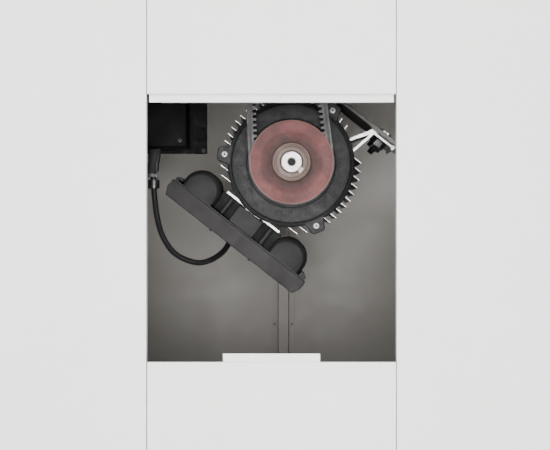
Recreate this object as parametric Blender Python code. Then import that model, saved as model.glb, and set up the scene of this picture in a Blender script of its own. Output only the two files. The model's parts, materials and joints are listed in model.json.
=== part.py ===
"""Skate sharpener: a free-standing cabinet with a belt-driven grinding wheel.

The capacitor motor hangs under an inclined plate behind the service opening in the front.
Its toothed belt goes up to a spindle under the table, whose wheel reaches through the table.
A carriage on a guide rod carries the skate holder over the wheel. Metres, +Z up, front at -Y.
"""
import math

import bmesh
import bpy
from mathutils import Matrix, Vector

# ---- driving dimensions ----
GAP = 0.0003                 # clearance between touching pieces
FRONT = -0.225               # outer face of the front panels
DEPTH = 0.450                # cabinet depth
HALF_W = 0.350               # half of the cabinet's width
SHEET = 0.002                # panel thickness
FEET = 0.040                 # height of the rubber feet
BODY_TOP = 0.850             # underside of the table
TABLE_T = 0.012              # table thickness
OPEN_HALF = 0.1365           # half width of the service opening
OPEN_LOW = 0.2507            # its lower edge
OPEN_HIGH = 0.5430           # lower edge of the upper middle panel
COVER_LOW = 0.5340           # lower edge of the raised cover

MOTOR_X = 0.0224             # motor axis
MOTOR_Z = 0.4708
MOTOR_TILT = math.radians(38)
SHAFT_R = 0.012
FOOT_HEIGHT = 0.090          # motor axis to the underside of its feet
PLATE_T = 0.004              # inclined plate
CORE_R = 0.0700
FIN_R = 0.0815
FIN_PITCH = 0.0085
FIN_T = 0.0013

SPINDLE_X = -0.006           # spindle axis
SPINDLE_Z = 0.800
MOTOR_PULLEY_R = 0.0473      # flanges of the motor pulley
MOTOR_BARREL_R = 0.0396      # its barrel, 42 teeth
SPINDLE_BARREL_R = 0.0264    # barrel of the spindle pulley, 28 teeth
FLANGE_RISE = 0.0072         # flanges above the barrels
BELT_T = 0.0082              # belt thickness
WHEEL_R = 0.100
WHEEL_T = 0.008
WHEEL_D = 0.250              # wheel's front face, behind the front panel

ROD_D = 0.345                # guide rod axis, behind the front panel
ROD_Z = 0.940
ROD_R = 0.0125
CABLE_R = 0.0034


def depth(value):
    """World Y of a place that lies the given distance behind the front panels."""
    return FRONT + value


# ---- materials and mesh helpers ----
def material(name, colour, roughness, metallic=0.0):
    found = bpy.data.materials.get(name)
    if found:
        return found
    made = bpy.data.materials.new(name)
    made.use_nodes = True
    shader = made.node_tree.nodes["Principled BSDF"]
    shader.inputs["Base Color"].default_value = (*colour, 1.0)
    shader.inputs["Roughness"].default_value = roughness
    shader.inputs["Metallic"].default_value = metallic
    return made


WHITE = material("white_powder_coat", (0.80, 0.80, 0.79), 0.45)
GREY = material("grey_paint", (0.42, 0.41, 0.39), 0.55)
STEEL = material("bright_steel", (0.62, 0.62, 0.61), 0.30, 1.0)
DARK_STEEL = material("dark_steel", (0.16, 0.16, 0.16), 0.40, 1.0)
ALUMINIUM = material("aluminium", (0.80, 0.80, 0.79), 0.35, 1.0)
BLACK_PAINT = material("black_paint", (0.03, 0.03, 0.032), 0.55)
BLACK_PLASTIC = material("black_plastic", (0.04, 0.04, 0.042), 0.45)
RUBBER = material("black_rubber", (0.02, 0.02, 0.02), 0.75)
RED_OXIDE = material("red_oxide", (0.35, 0.16, 0.14), 0.60)
COPPER = material("copper_winding", (0.55, 0.27, 0.12), 0.40, 1.0)
ABRASIVE = material("pink_abrasive", (0.70, 0.42, 0.40), 0.90)
GREEN = material("green_plastic", (0.05, 0.35, 0.12), 0.40)
RED = material("red_plastic", (0.60, 0.03, 0.03), 0.40)


def new_object(name, mesh, look, place=(0, 0, 0), parent=None):
    made = bpy.data.objects.new(name, mesh)
    made.location = place
    made.parent = parent
    mesh.materials.append(look)
    bpy.context.scene.collection.objects.link(made)
    return made


def finish_mesh(name, shape, smooth=True):
    """Turn a bmesh into a mesh whose faces point outwards."""
    bmesh.ops.recalc_face_normals(shape, faces=shape.faces)
    mesh = bpy.data.meshes.new(name)
    shape.to_mesh(mesh)
    shape.free()
    if smooth:
        mesh.shade_smooth()
        mesh.set_sharp_from_angle(angle=math.radians(30))
    return mesh


def box(name, low, high, look, place=(0, 0, 0), parent=None, bevel=0.0):
    """A block between two corners, given relative to place."""
    shape = bmesh.new()
    bmesh.ops.create_cube(shape, size=1.0)
    for vert in shape.verts:
        for axis in range(3):
            share = vert.co[axis] + 0.5
            vert.co[axis] = low[axis] + share * (high[axis] - low[axis])
    if bevel:
        bmesh.ops.bevel(shape, geom=shape.edges[:], offset=bevel, segments=2,
                        profile=0.5, affect="EDGES")
    return new_object(name, finish_mesh(name, shape), look, place, parent)


def extruded(name, outline, start, end, look, place=(0, 0, 0), parent=None):
    """A prism: an outline of (x, z) points extruded along Y."""
    shape = bmesh.new()
    front = [shape.verts.new((x, start, z)) for x, z in outline]
    back = [shape.verts.new((x, end, z)) for x, z in outline]
    shape.faces.new(front)
    shape.faces.new(back[::-1])
    for index in range(len(outline)):
        after = (index + 1) % len(outline)
        shape.faces.new((front[index], back[index], back[after], front[after]))
    return new_object(name, finish_mesh(name, shape), look, place, parent)


def rows(name, outline, start, end, look, place=(0, 0, 0), parent=None):
    """A prism: an outline of (y, z) points extruded along X."""
    shape = bmesh.new()
    first = [shape.verts.new((start, y, z)) for y, z in outline]
    last = [shape.verts.new((end, y, z)) for y, z in outline]
    shape.faces.new(first)
    shape.faces.new(last[::-1])
    for index in range(len(outline)):
        after = (index + 1) % len(outline)
        shape.faces.new((first[index], last[index], last[after], first[after]))
    return new_object(name, finish_mesh(name, shape), look, place, parent)


def plan(name, outline, low, high, look, place=(0, 0, 0), parent=None):
    """A prism: an outline of (x, y) points extruded upwards."""
    shape = bmesh.new()
    first = [shape.verts.new((x, y, low)) for x, y in outline]
    last = [shape.verts.new((x, y, high)) for x, y in outline]
    shape.faces.new(first)
    shape.faces.new(last[::-1])
    for index in range(len(outline)):
        after = (index + 1) % len(outline)
        shape.faces.new((first[index], last[index], last[after], first[after]))
    return new_object(name, finish_mesh(name, shape), look, place, parent)


def turned(name, profile, look, place=(0, 0, 0), parent=None, sides=40, along="Y"):
    """Turn (radius, distance along the axis) points about an axis.

    A profile that starts and ends at radius 0 is a solid; otherwise it closes on itself.
    """
    solid = profile[0][0] == 0 and profile[-1][0] == 0
    shape = bmesh.new()
    rings = []
    for radius, along_axis in profile:
        if radius == 0:
            rings.append([shape.verts.new((0, along_axis, 0))])
            continue
        ring = []
        for step in range(sides):
            angle = 2 * math.pi * step / sides
            ring.append(shape.verts.new((radius * math.cos(angle), along_axis,
                                         radius * math.sin(angle))))
        rings.append(ring)
    pairs = list(zip(rings[:-1], rings[1:]))
    if not solid:
        pairs.append((rings[-1], rings[0]))
    for first, second in pairs:
        for step in range(sides):
            after = (step + 1) % sides
            corners = [first[step % len(first)], first[after % len(first)],
                       second[after % len(second)], second[step % len(second)]]
            shape.faces.new(list(dict.fromkeys(corners)))
    if along == "X":
        turn = Matrix.Rotation(-math.pi / 2, 4, "Z")
        bmesh.ops.transform(shape, matrix=turn, verts=shape.verts)
    if along == "Z":
        turn = Matrix.Rotation(math.pi / 2, 4, "X")
        bmesh.ops.transform(shape, matrix=turn, verts=shape.verts)
    return new_object(name, finish_mesh(name, shape), look, place, parent)


def running(radius, sides, clearance=0.00005):
    """Radius of a bore whose flats clear a shaft that turns in it."""
    return (radius + clearance) / math.cos(math.pi / sides)


def tube(name, inner, outer, start, end, look, **where):
    return turned(name, [(inner, start), (outer, start), (outer, end), (inner, end)], look, **where)


def rod(name, radius, start, end, look, **where):
    return turned(name, [(0, start), (radius, start), (radius, end), (0, end)], look, **where)


def boolean(target, tool, operation="DIFFERENCE"):
    """Cut the tool out of the target, or join it on, and hide the tool."""
    change = target.modifiers.new(tool.name, "BOOLEAN")
    change.operation = operation
    change.object = tool
    change.solver = "EXACT"
    tool.hide_render = True
    tool.display_type = "WIRE"


def arc(centre, radius, start, end, steps):
    """Points on an arc, angles in degrees."""
    points = []
    for step in range(steps + 1):
        angle = math.radians(start + (end - start) * step / steps)
        points.append((centre[0] + radius * math.cos(angle), centre[1] + radius * math.sin(angle)))
    return points


# ---- the cabinet ----
def cabinet():
    low = FEET + GAP + 0.003
    top = BODY_TOP - GAP
    flange = 0.018
    for side, name in ((-1, "left"), (1, "right")):
        edge = side * OPEN_HALF
        outer = side * HALF_W
        outline = [(outer, FRONT), (edge, FRONT), (edge, depth(flange)),
                   (edge + side * SHEET, depth(flange)), (edge + side * SHEET, depth(SHEET)),
                   (outer, depth(SHEET))]
        front_panel = plan(name + "_front_panel", outline, low, top, WHITE)
        wall_in = outer - side * SHEET
        box(name + "_side_panel", (min(outer, wall_in), depth(SHEET + GAP), low),
            (max(outer, wall_in), depth(DEPTH - SHEET - GAP), top), WHITE)
        if side > 0:
            for button_x, button_z, hole in BUTTON_PLACES:
                cutter = rod("button_hole_%d" % int(button_z * 1000), hole + GAP, FRONT - 0.01,
                             depth(0.012), WHITE, place=(button_x, 0, button_z), sides=24)
                boolean(front_panel, cutter)
    box("back_panel", (-HALF_W, depth(DEPTH - SHEET), low), (HALF_W, depth(DEPTH), top), WHITE)
    box("base_plate", (-HALF_W, FRONT, FEET), (HALF_W, depth(DEPTH), FEET + 0.003), GREY)

    # The upper middle panel is folded into a channel that the raised cover slides in.
    half = OPEN_HALF - 0.0008
    lip = 0.012
    back = depth(0.011)
    outline = [(-half, FRONT), (half, FRONT), (half, back), (half - lip, back),
               (half - lip, back - 0.0012), (half - 0.0012, back - 0.0012),
               (half - 0.0012, depth(SHEET)), (-half + 0.0012, depth(SHEET)),
               (-half + 0.0012, back - 0.0012), (-half + lip, back - 0.0012),
               (-half + lip, back), (-half, back)]
    plan("upper_centre_panel", outline, OPEN_HIGH, top, WHITE)
    box("lower_centre_panel", (-half, FRONT, low), (half, depth(SHEET), OPEN_LOW), WHITE)
    catch_low = OPEN_LOW - 0.030
    catch_back = depth(SHEET + GAP)
    box("cover_catch", (-0.053, catch_back, catch_low), (0.053, catch_back + 0.0015, OPEN_LOW + 0.009),
        WHITE)

    # The cover: a sheet with a folded grip along its lower edge.
    cover_half = half - 0.0020
    face = depth(0.0048)
    outline = [(face, 0), (face, BODY_TOP - 0.003 - COVER_LOW), (face + 0.0015, BODY_TOP - 0.003 - COVER_LOW),
               (face + 0.0015, 0.0015), (face + 0.010, 0.0015), (face + 0.010, 0)]
    inset = 0.0125
    cover = rows("access_cover", outline, -cover_half, cover_half, WHITE, place=(0, 0, COVER_LOW))
    for side in (-1, 1):
        ends = sorted((side * (cover_half - inset), side * (cover_half + 0.01)))
        x_low, x_high = ends
        cutter = box("cover_grip_end_%d" % (side + 1), (x_low, face + 0.0015, -0.01),
                     (x_high, face + 0.02, 0.01), WHITE, place=(0, 0, COVER_LOW))
        boolean(cover, cutter)

    # The hat-section rib on the back wall.
    wall = depth(DEPTH - SHEET - GAP)
    outline = [(0.000, wall), (0.030, wall), (0.030, wall - 0.0012), (0.0225, wall - 0.0012),
               (0.0215, wall - 0.0060), (0.0085, wall - 0.0060), (0.0075, wall - 0.0012),
               (0.000, wall - 0.0012)]
    plan("back_rib", outline, 0.228, 0.780, GREY)

    for side_x, name_x in ((-1, "left"), (1, "right")):
        for foot_d, name_y in ((0.035, "front"), (DEPTH - 0.035, "rear")):
            turned("foot_%s_%s" % (name_y, name_x),
                   [(0, 0), (0.019, 0), (0.020, 0.002), (0.016, FEET - GAP), (0, FEET - GAP)], RUBBER,
                   place=(side_x * (HALF_W - 0.035), depth(foot_d), 0), sides=24, along="Z")

    table = box("table_top", (-0.370, FRONT - 0.022, BODY_TOP), (0.370, depth(DEPTH) + 0.010,
                BODY_TOP + TABLE_T), STEEL)
    slot = box("table_slot", (SPINDLE_X - WHEEL_R, depth(WHEEL_D - 0.008), BODY_TOP - 0.01),
               (SPINDLE_X + WHEEL_R, depth(WHEEL_D + WHEEL_T + 0.008), BODY_TOP + 0.03), STEEL)
    boolean(table, slot)


# ---- the motor, modelled upright about its own axis and turned as a whole ----
def housing_outline():
    """The finned outline: feet seat at the top, terminal box seat below, fins at both sides."""
    seat = 0.066
    pad = 0.0737
    half = FIN_T / 2
    right = []
    for across in (0.0048, 0.0144, 0.0240):
        tip = math.sqrt((FIN_R - 0.002) ** 2 - across ** 2)
        right += [(across - half, seat), (across - half, tip), (across + half, tip),
                  (across + half, seat)]
    right.append((0.030, seat))
    for step in range(6, -8, -1):
        height = step * FIN_PITCH
        tip = math.sqrt(FIN_R ** 2 - height ** 2)
        if abs(height) < CORE_R - 0.008:
            root_high = math.sqrt(CORE_R ** 2 - (height + half) ** 2)
            root_low = math.sqrt(CORE_R ** 2 - (height - half) ** 2)
            right.append((root_high, height + half))
            right.append((tip, height + half))
            right.append((tip, height - half))
            right.append((root_low, height - half))
    right += [(0.016, -0.0681), (0.016, -0.0697), (0.038, -0.0697), (0.038, -0.0722),
              (0.010, -0.0722), (0.010, -pad)]
    left = [(-x, z) for x, z in reversed(right)]
    return right + left


def motor():
    frame = bpy.data.objects.new("motor_frame", None)
    frame.location = (MOTOR_X, 0, MOTOR_Z)
    frame.rotation_euler = (0, MOTOR_TILT, 0)
    bpy.context.scene.collection.objects.link(frame)

    body_start = depth(0.1323)
    body_end = depth(0.285)
    housing = extruded("stator_housing", housing_outline(), body_start, body_end, ALUMINIUM, parent=frame)
    bore = rod("housing_bore", 0.0620, body_start - 0.01, body_end + 0.01, ALUMINIUM, parent=frame,
               sides=48)
    boolean(housing, bore)

    shield = turned("drive_end_shield",
                    [(0.0266, depth(0.105)), (0.0640, depth(0.105)), (0.0688, depth(0.107)),
                     (0.0725, depth(0.112)), (0.0733, depth(0.118)), (0.0733, depth(0.132)),
                     (0.0600, depth(0.132)), (0.0600, depth(0.122)), (0.0266, depth(0.122))],
                    BLACK_PAINT, parent=frame, sides=64)
    for turn in (90, 210, 330):
        angle = math.radians(turn)
        centre = (0.0790 * math.cos(angle), 0.0790 * math.sin(angle))
        inward = turn + 180
        points = arc(centre, 0.0090, inward - 255, inward - 105, 10)
        for side in (-1, 1):
            points.append((0.066 * math.cos(angle) + side * 0.0125 * math.sin(angle),
                           0.066 * math.sin(angle) - side * 0.0125 * math.cos(angle)))
        ear = extruded("shield_ear_%d" % turn, points, depth(0.114), depth(0.1318), BLACK_PAINT,
                       parent=frame)
        boolean(shield, ear, "UNION")

    turned("rear_end_shield",
           [(0.0201, body_end + GAP), (0.0720, body_end + GAP), (0.0720, body_end + 0.012),
            (0.0400, body_end + 0.018), (0.0201, body_end + 0.018)], BLACK_PAINT, parent=frame,
           sides=32)
    cover_end = depth(0.352)
    turned("fan_cover",
           [(0.0725, body_end + 0.001), (0.0740, body_end + 0.001), (0.0740, cover_end - 0.008),
            (0.0680, cover_end), (0.0140, cover_end), (0.0140, cover_end - 0.0015),
            (0.0675, cover_end - 0.0015), (0.0725, cover_end - 0.009)], BLACK_PAINT, parent=frame,
           sides=32)

    tube("stator_core", 0.0400, 0.0617, depth(0.150), depth(0.265), COPPER, parent=frame, sides=32)
    axis = (MOTOR_X, 0, MOTOR_Z)
    tube("motor_bearing_front", running(SHAFT_R, 32), 0.0263, depth(0.106), depth(0.121), STEEL,
         place=axis, sides=32)
    tube("motor_bearing_rear", running(SHAFT_R, 32), 0.0198, body_end + 0.002, body_end + 0.016, STEEL,
         place=axis, sides=32)

    # Feet: two extruded rails with hollow legs, hung under the inclined plate.
    for side, name in ((-1, "left"), (1, "right")):
        high = FOOT_HEIGHT
        points = [(0.0345, 0.0638), (0.0367, 0.0622), (0.0508, 0.0835), (0.0504, 0.0800),
                  (0.0460, 0.0566), (0.0484, 0.0549), (0.0534, 0.0800), (0.0545, high - 0.0032),
                  (0.0800, high - 0.0032), (0.0808, high - 0.0052), (0.0832, high - 0.0052),
                  (0.0838, high), (0.0800, high), (0.0790, high - 0.0010),
                  (0.0575, high - 0.0010), (0.0560, high), (0.0495, high)]
        outline = [(side * x, z) for x, z in points]
        extruded("motor_foot_" + name, outline, depth(0.1325), depth(0.235), ALUMINIUM, parent=frame)

    # Terminal box: a base with a round hump over each capacitor, and a flat lid.
    base_front = depth(0.118)
    base_back = depth(0.214)
    outline = []
    outline += [(-0.0945, -0.0970), (-0.0945, -0.0930), (-0.0860, -0.0880)]
    outline += arc((-0.0630, -0.0870), 0.0230, 180, 15, 12)
    outline += [(-0.0372, -0.0850), (-0.0372, -0.0740), (0.0372, -0.0740), (0.0372, -0.0850)]
    outline += arc((0.0630, -0.0870), 0.0230, 165, 0, 12)
    outline += [(0.0860, -0.0880), (0.0945, -0.0930), (0.0945, -0.0970)]
    base = extruded("terminal_box_base", outline, base_front, base_back, BLACK_PLASTIC, parent=frame)
    hollow = extruded("terminal_box_hollow",
                      arc((-0.0630, -0.0870), 0.0205, 180, 0, 10) + [(-0.0420, -0.1000), (-0.0840, -0.1000)],
                      base_front + 0.003, base_back - 0.003, BLACK_PLASTIC, parent=frame)
    boolean(base, hollow)
    hollow = extruded("terminal_box_hollow_right",
                      arc((0.0630, -0.0870), 0.0205, 180, 0, 10) + [(0.0840, -0.1000), (0.0420, -0.1000)],
                      base_front + 0.003, base_back - 0.003, BLACK_PLASTIC, parent=frame)
    boolean(base, hollow)
    lid_high = -0.0973
    lid_low = -0.1173
    outline = [(-0.0965, lid_high), (-0.0965, -0.1080), (-0.0930, lid_low), (0.0935, lid_low),
               (0.0970, -0.1080), (0.0970, lid_high)]
    lid = extruded("terminal_box_lid", outline, base_front - 0.001, base_back + 0.001, BLACK_PLASTIC,
                   parent=frame)
    lid_hollow = box("lid_hollow", (-0.0900, base_front + 0.003, -0.1140),
                     (0.0900, base_back - 0.003, -0.0900), BLACK_PLASTIC, parent=frame)
    boolean(lid, lid_hollow)
    for name, x in (("start_capacitor", -0.0630), ("run_capacitor", 0.0630)):
        rod(name, 0.0185, base_front + 0.008, base_back - 0.008, ALUMINIUM, place=(x, 0, -0.0870),
            parent=frame, sides=24)
    gland_x = -0.0150
    gland = turned("cable_gland",
                   [(0, base_back - 0.004), (0.0090, base_back - 0.004), (0.0090, base_back + 0.012),
                    (0.0060, base_back + 0.018), (0, base_back + 0.018)], BLACK_PLASTIC,
                   place=(gland_x, 0, -0.0850), parent=frame, sides=20)
    boolean(base, gland, "UNION")

    # The plate that the motor hangs under.
    box("motor_plate", (-0.172, depth(0.112), FOOT_HEIGHT + GAP),
        (0.118, depth(0.232), FOOT_HEIGHT + GAP + PLATE_T), GREY, parent=frame)
    return frame


def rotor():
    """Everything that turns with the motor shaft; upright, on the same axis."""
    axis = (MOTOR_X, 0, MOTOR_Z)
    turned("rotor_shaft",
           [(0, depth(0.0800)), (0.0040, depth(0.0800)), (0.0040, depth(0.055)), (0.0112, depth(0.055)),
            (SHAFT_R, depth(0.0558)), (SHAFT_R, depth(0.338)), (0, depth(0.338))], STEEL, place=axis,
           sides=32)
    tube("rotor_core", SHAFT_R + GAP, 0.0395, depth(0.152), depth(0.263), DARK_STEEL, place=axis,
         sides=32)
    pulley_r = MOTOR_PULLEY_R
    barrel_r = MOTOR_BARREL_R
    pulley = turned("motor_pulley",
                    [(SHAFT_R + GAP, depth(0.0570)), (0.0205, depth(0.0570)), (0.0218, depth(0.0580)),
                     (0.0230, depth(0.0625)), (0.0300, depth(0.0625)), (0.0345, depth(0.0605)),
                     (pulley_r - 0.0005, depth(0.0600)), (pulley_r, depth(0.0605)),
                     (pulley_r, depth(0.0612)), (barrel_r, depth(0.0614)),
                     (barrel_r, depth(0.0888)), (pulley_r, depth(0.0890)),
                     (pulley_r, depth(0.0902)), (SHAFT_R + GAP, depth(0.0902))], RED_OXIDE,
                    place=axis, sides=48)
    key_angle = math.radians(-41)
    key_place = (MOTOR_X + 0.0125 * math.cos(key_angle), 0, MOTOR_Z + 0.0125 * math.sin(key_angle))
    key = box("shaft_key", (-0.0032, depth(0.0562), -0.0030), (0.0032, depth(0.088), 0.0030),
              DARK_STEEL, place=key_place)
    key.rotation_euler = (0, -key_angle, 0)
    for part, name in ((pulley, "pulley_keyway"), (bpy.data.objects["rotor_shaft"], "shaft_keyway")):
        cutter = box(name, (-0.0035, depth(0.0500), -0.0033), (0.0035, depth(0.0905), 0.0033),
                     DARK_STEEL, place=key_place)
        cutter.rotation_euler = (0, -key_angle, 0)
        boolean(part, cutter)
    fan = tube("motor_fan", SHAFT_R + GAP, 0.022, depth(0.310), depth(0.332), BLACK_PLASTIC,
               place=axis, sides=32)
    blades = 7
    for number in range(blades):
        blade = box("fan_blade_%d" % number, (0.018, depth(0.312), -0.001), (0.064, depth(0.330), 0.001),
                    BLACK_PLASTIC, place=axis)
        blade.rotation_euler = (0, 2 * math.pi * number / blades, 0)
        boolean(fan, blade, "UNION")


# ---- belt, spindle and grinding wheel ----
def belt_outline(extra, steps):
    """The loop round both pulleys at the given distance outside them."""
    across = MOTOR_X - SPINDLE_X
    up = SPINDLE_Z - MOTOR_Z
    distance = math.hypot(across, up)
    lean = math.degrees(math.atan2(up, -across))
    spread = math.degrees(math.acos((MOTOR_BARREL_R - SPINDLE_BARREL_R) / distance))
    lower = arc((MOTOR_X, MOTOR_Z), MOTOR_BARREL_R + extra, lean + spread, lean + 360 - spread, steps)
    upper = arc((SPINDLE_X, SPINDLE_Z), SPINDLE_BARREL_R + extra, lean - spread, lean + spread, steps)
    return lower + upper


def belt():
    outline = belt_outline(GAP + BELT_T, 28)
    band = extruded("drive_belt", outline, depth(0.0618), depth(0.0884), RUBBER)
    inside = extruded("belt_inside", belt_outline(GAP, 28), depth(0.055), depth(0.095), RUBBER)
    boolean(band, inside)


def spindle():
    axis = (SPINDLE_X, 0, SPINDLE_Z)
    wheel_back = WHEEL_D + WHEEL_T
    turned("spindle_shaft",
           [(0, depth(0.058)), (0.0100, depth(0.058)), (0.0100, depth(0.2350)),
            (0.0250, depth(0.2420)), (0.0250, depth(WHEEL_D - GAP)), (0.0080, depth(WHEEL_D - GAP)),
            (0.0080, depth(wheel_back + 0.018)), (0, depth(wheel_back + 0.018))], STEEL, place=axis,
           sides=32)
    turned("spindle_pulley",
           [(0.0103, depth(0.0600)), (SPINDLE_BARREL_R + FLANGE_RISE, depth(0.0600)),
            (SPINDLE_BARREL_R + FLANGE_RISE, depth(0.0612)), (SPINDLE_BARREL_R, depth(0.0614)),
            (SPINDLE_BARREL_R, depth(0.0888)), (SPINDLE_BARREL_R + FLANGE_RISE, depth(0.0890)),
            (SPINDLE_BARREL_R + FLANGE_RISE, depth(0.0902)), (0.0180, depth(0.0902)),
            (0.0180, depth(0.0960)), (0.0103, depth(0.0960))], ALUMINIUM, place=axis, sides=32)
    housing = tube("spindle_housing", 0.0213, 0.0340, depth(0.100), depth(0.225), BLACK_PAINT,
                   place=axis, sides=32)
    block = box("spindle_block", (-0.024, depth(0.105), 0.028), (0.024, depth(0.220),
                BODY_TOP - GAP - SPINDLE_Z), BLACK_PAINT, place=axis)
    boolean(housing, block, "UNION")
    tube("spindle_bearing_front", running(0.0100, 32), 0.0210, depth(0.104), depth(0.118), STEEL, place=axis,
         sides=32)
    tube("spindle_bearing_rear", running(0.0100, 32), 0.0210, depth(0.206), depth(0.220), STEEL, place=axis,
         sides=32)
    wheel = turned("grinding_wheel",
                   [(0.0083, depth(WHEEL_D)), (WHEEL_R, depth(WHEEL_D)), (WHEEL_R, depth(wheel_back)),
                    (0.0083, depth(wheel_back))], ABRASIVE, place=axis, sides=48)
    wheel.data.set_sharp_from_angle(angle=math.radians(20))
    tube("wheel_nut", 0.0083, 0.0200, depth(wheel_back + GAP), depth(wheel_back + 0.012), DARK_STEEL,
         place=axis, sides=12)

    # A U-shaped guard round the lower part of the wheel, hung from the table.
    guard_r = 0.112
    low, high = depth(WHEEL_D - 0.014), depth(wheel_back + 0.026)
    top = BODY_TOP - GAP - SPINDLE_Z
    outline = [(guard_r, top)] + arc((0, 0), guard_r, 0, -180, 24) + [(-guard_r, top)]
    guard = extruded("wheel_guard", outline, low, high, GREY, place=axis)
    inner = guard_r - 0.002
    outline = [(inner, top + 0.01)] + arc((0, 0), inner, 0, -180, 24) + [(-inner, top + 0.01)]
    cavity = extruded("guard_cavity", outline, low + 0.002, high - 0.002, GREY, place=axis)
    boolean(guard, cavity)
    hole = rod("guard_hole", 0.0270, low - 0.01, low + 0.01, GREY, place=axis, sides=24)
    boolean(guard, hole)


def hanger():
    """A bent strap frame between the inclined plate and the underside of the table."""
    front, back = depth(0.115), depth(0.229)
    cosine, sine = math.cos(MOTOR_TILT), math.sin(MOTOR_TILT)

    def plate_point(along, above):
        return (MOTOR_X + along * cosine + above * sine, MOTOR_Z - along * sine + above * cosine)

    above = FOOT_HEIGHT + PLATE_T + 2 * GAP
    strap = 0.004
    top = BODY_TOP - GAP
    left_in = plate_point(-0.142, above)
    left_out = plate_point(-0.168, above)
    right_in = plate_point(0.094, above)
    right_out = plate_point(0.114, above)
    left_raised = plate_point(-0.142, above + strap)
    right_raised = plate_point(0.094, above + strap)
    left_wall = left_out[0]
    right_wall = right_out[0]
    outline = [left_in, left_out, (left_wall, top), (right_wall, top), right_out, right_in,
               right_raised, (right_wall - strap, plate_point(0.109, above + strap)[1]),
               (right_wall - strap, top - strap), (left_wall + strap, top - strap),
               (left_wall + strap, plate_point(-0.163, above + strap)[1]), left_raised]
    frame = extruded("motor_hanger", outline, front, back, GREY)
    notch = box("hanger_notch", (SPINDLE_X - 0.026, depth(0.103), BODY_TOP - 0.02),
                (SPINDLE_X + 0.026, depth(0.222), BODY_TOP + 0.01), GREY)
    boolean(frame, notch)


# ---- electrical box and the cable between the two boxes ----
CABLE_ROUTE = [(-0.1385, 0.160, 0.484), (-0.1390, 0.160, 0.470), (-0.1392, 0.161, 0.456),
               (-0.1388, 0.163, 0.441), (-0.1375, 0.167, 0.424), (-0.1350, 0.173, 0.405),
               (-0.1290, 0.182, 0.385), (-0.1150, 0.192, 0.365), (-0.0900, 0.204, 0.3545),
               (-0.0710, 0.216, 0.3590), (-0.0580, 0.232, 0.3690), (-0.0500, 0.248, 0.3830),
               (-0.0452, 0.258, 0.3960)]


def control_box():
    body = box("control_box", (-0.205, depth(0.130), 0.4895), (-0.0980, depth(0.1895), 0.640),
               BLACK_PLASTIC, bevel=0.003)
    hollow = box("control_hollow", (-0.198, depth(0.136), 0.4945), (-0.105, depth(0.184), 0.634),
                 BLACK_PLASTIC)
    entry = rod("cable_entry", 0.0052, -0.010, 0.012, BLACK_PLASTIC,
                place=(-0.1385, depth(0.160), 0.4895), sides=16, along="Z")
    boolean(body, hollow)
    boolean(body, entry)
    bracket = box("control_box_bracket", (-0.205, depth(0.190), 0.4850), (-0.0774, depth(0.193),
                  BODY_TOP - GAP), GREY)
    for number, (low, high) in enumerate(((0.4995, 0.517), (0.5250, 0.5415), (0.550, 0.567))):
        slot = box("bracket_slot_%d" % number, (-0.0886, depth(0.180), low), (-0.0796, depth(0.200), high),
                   GREY)
        boolean(bracket, slot)


def smooth_route(points, count):
    """Points read from a Catmull-Rom curve through the hand-chosen route."""
    padded = [points[0] * 2 - points[1]] + points + [points[-1] * 2 - points[-2]]
    result = []
    spans = len(points) - 1
    for step in range(count + 1):
        place = min(step * spans / count, spans - 1e-9)
        index = int(place)
        share = place - index
        before, start, end, after = padded[index:index + 4]
        result.append(0.5 * (2 * start + (end - before) * share
                             + (2 * before - 5 * start + 4 * end - after) * share ** 2
                             + (3 * start - before - 3 * end + after) * share ** 3))
    return result


def cable():
    cosine, sine = math.cos(MOTOR_TILT), math.sin(MOTOR_TILT)
    gland_x = MOTOR_X - 0.0150 * cosine - 0.0850 * sine
    gland_z = MOTOR_Z + 0.0150 * sine - 0.0850 * cosine
    points = [Vector((x, depth(d), z)) for x, d, z in CABLE_ROUTE]
    points.append(Vector((gland_x, depth(0.2540), gland_z - 0.0040)))
    points.append(Vector((gland_x, depth(0.2430), gland_z)))
    points.append(Vector((gland_x, depth(0.2323), gland_z)))
    curve = bpy.data.curves.new("motor_cable", "CURVE")
    curve.dimensions = "3D"
    curve.bevel_depth = CABLE_R
    curve.bevel_resolution = 2
    curve.use_fill_caps = True
    route = smooth_route(points, 46)
    spline = curve.splines.new("POLY")
    spline.points.add(len(route) - 1)
    for target, place in zip(spline.points, route):
        target.co = (*place, 1.0)
    made = bpy.data.objects.new("motor_cable", curve)
    curve.materials.append(RUBBER)
    bpy.context.scene.collection.objects.link(made)

    clip_z = 0.4480
    strap = box("cable_clip", (-0.1435, depth(0.1700), clip_z - 0.006), (-0.1345, depth(0.1720), 0.4892),
                DARK_STEEL)
    ring = tube("clip_ring", 0.0050, 0.0068, -0.005, 0.005, DARK_STEEL,
                place=(-0.1390, depth(0.1620), clip_z), sides=20, along="Z")
    bridge = box("clip_bridge", (-0.1410, depth(0.1678), clip_z - 0.004), (-0.1370, depth(0.1705),
                 clip_z + 0.004), DARK_STEEL)
    boolean(strap, bridge, "UNION")
    boolean(strap, ring, "UNION")


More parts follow.
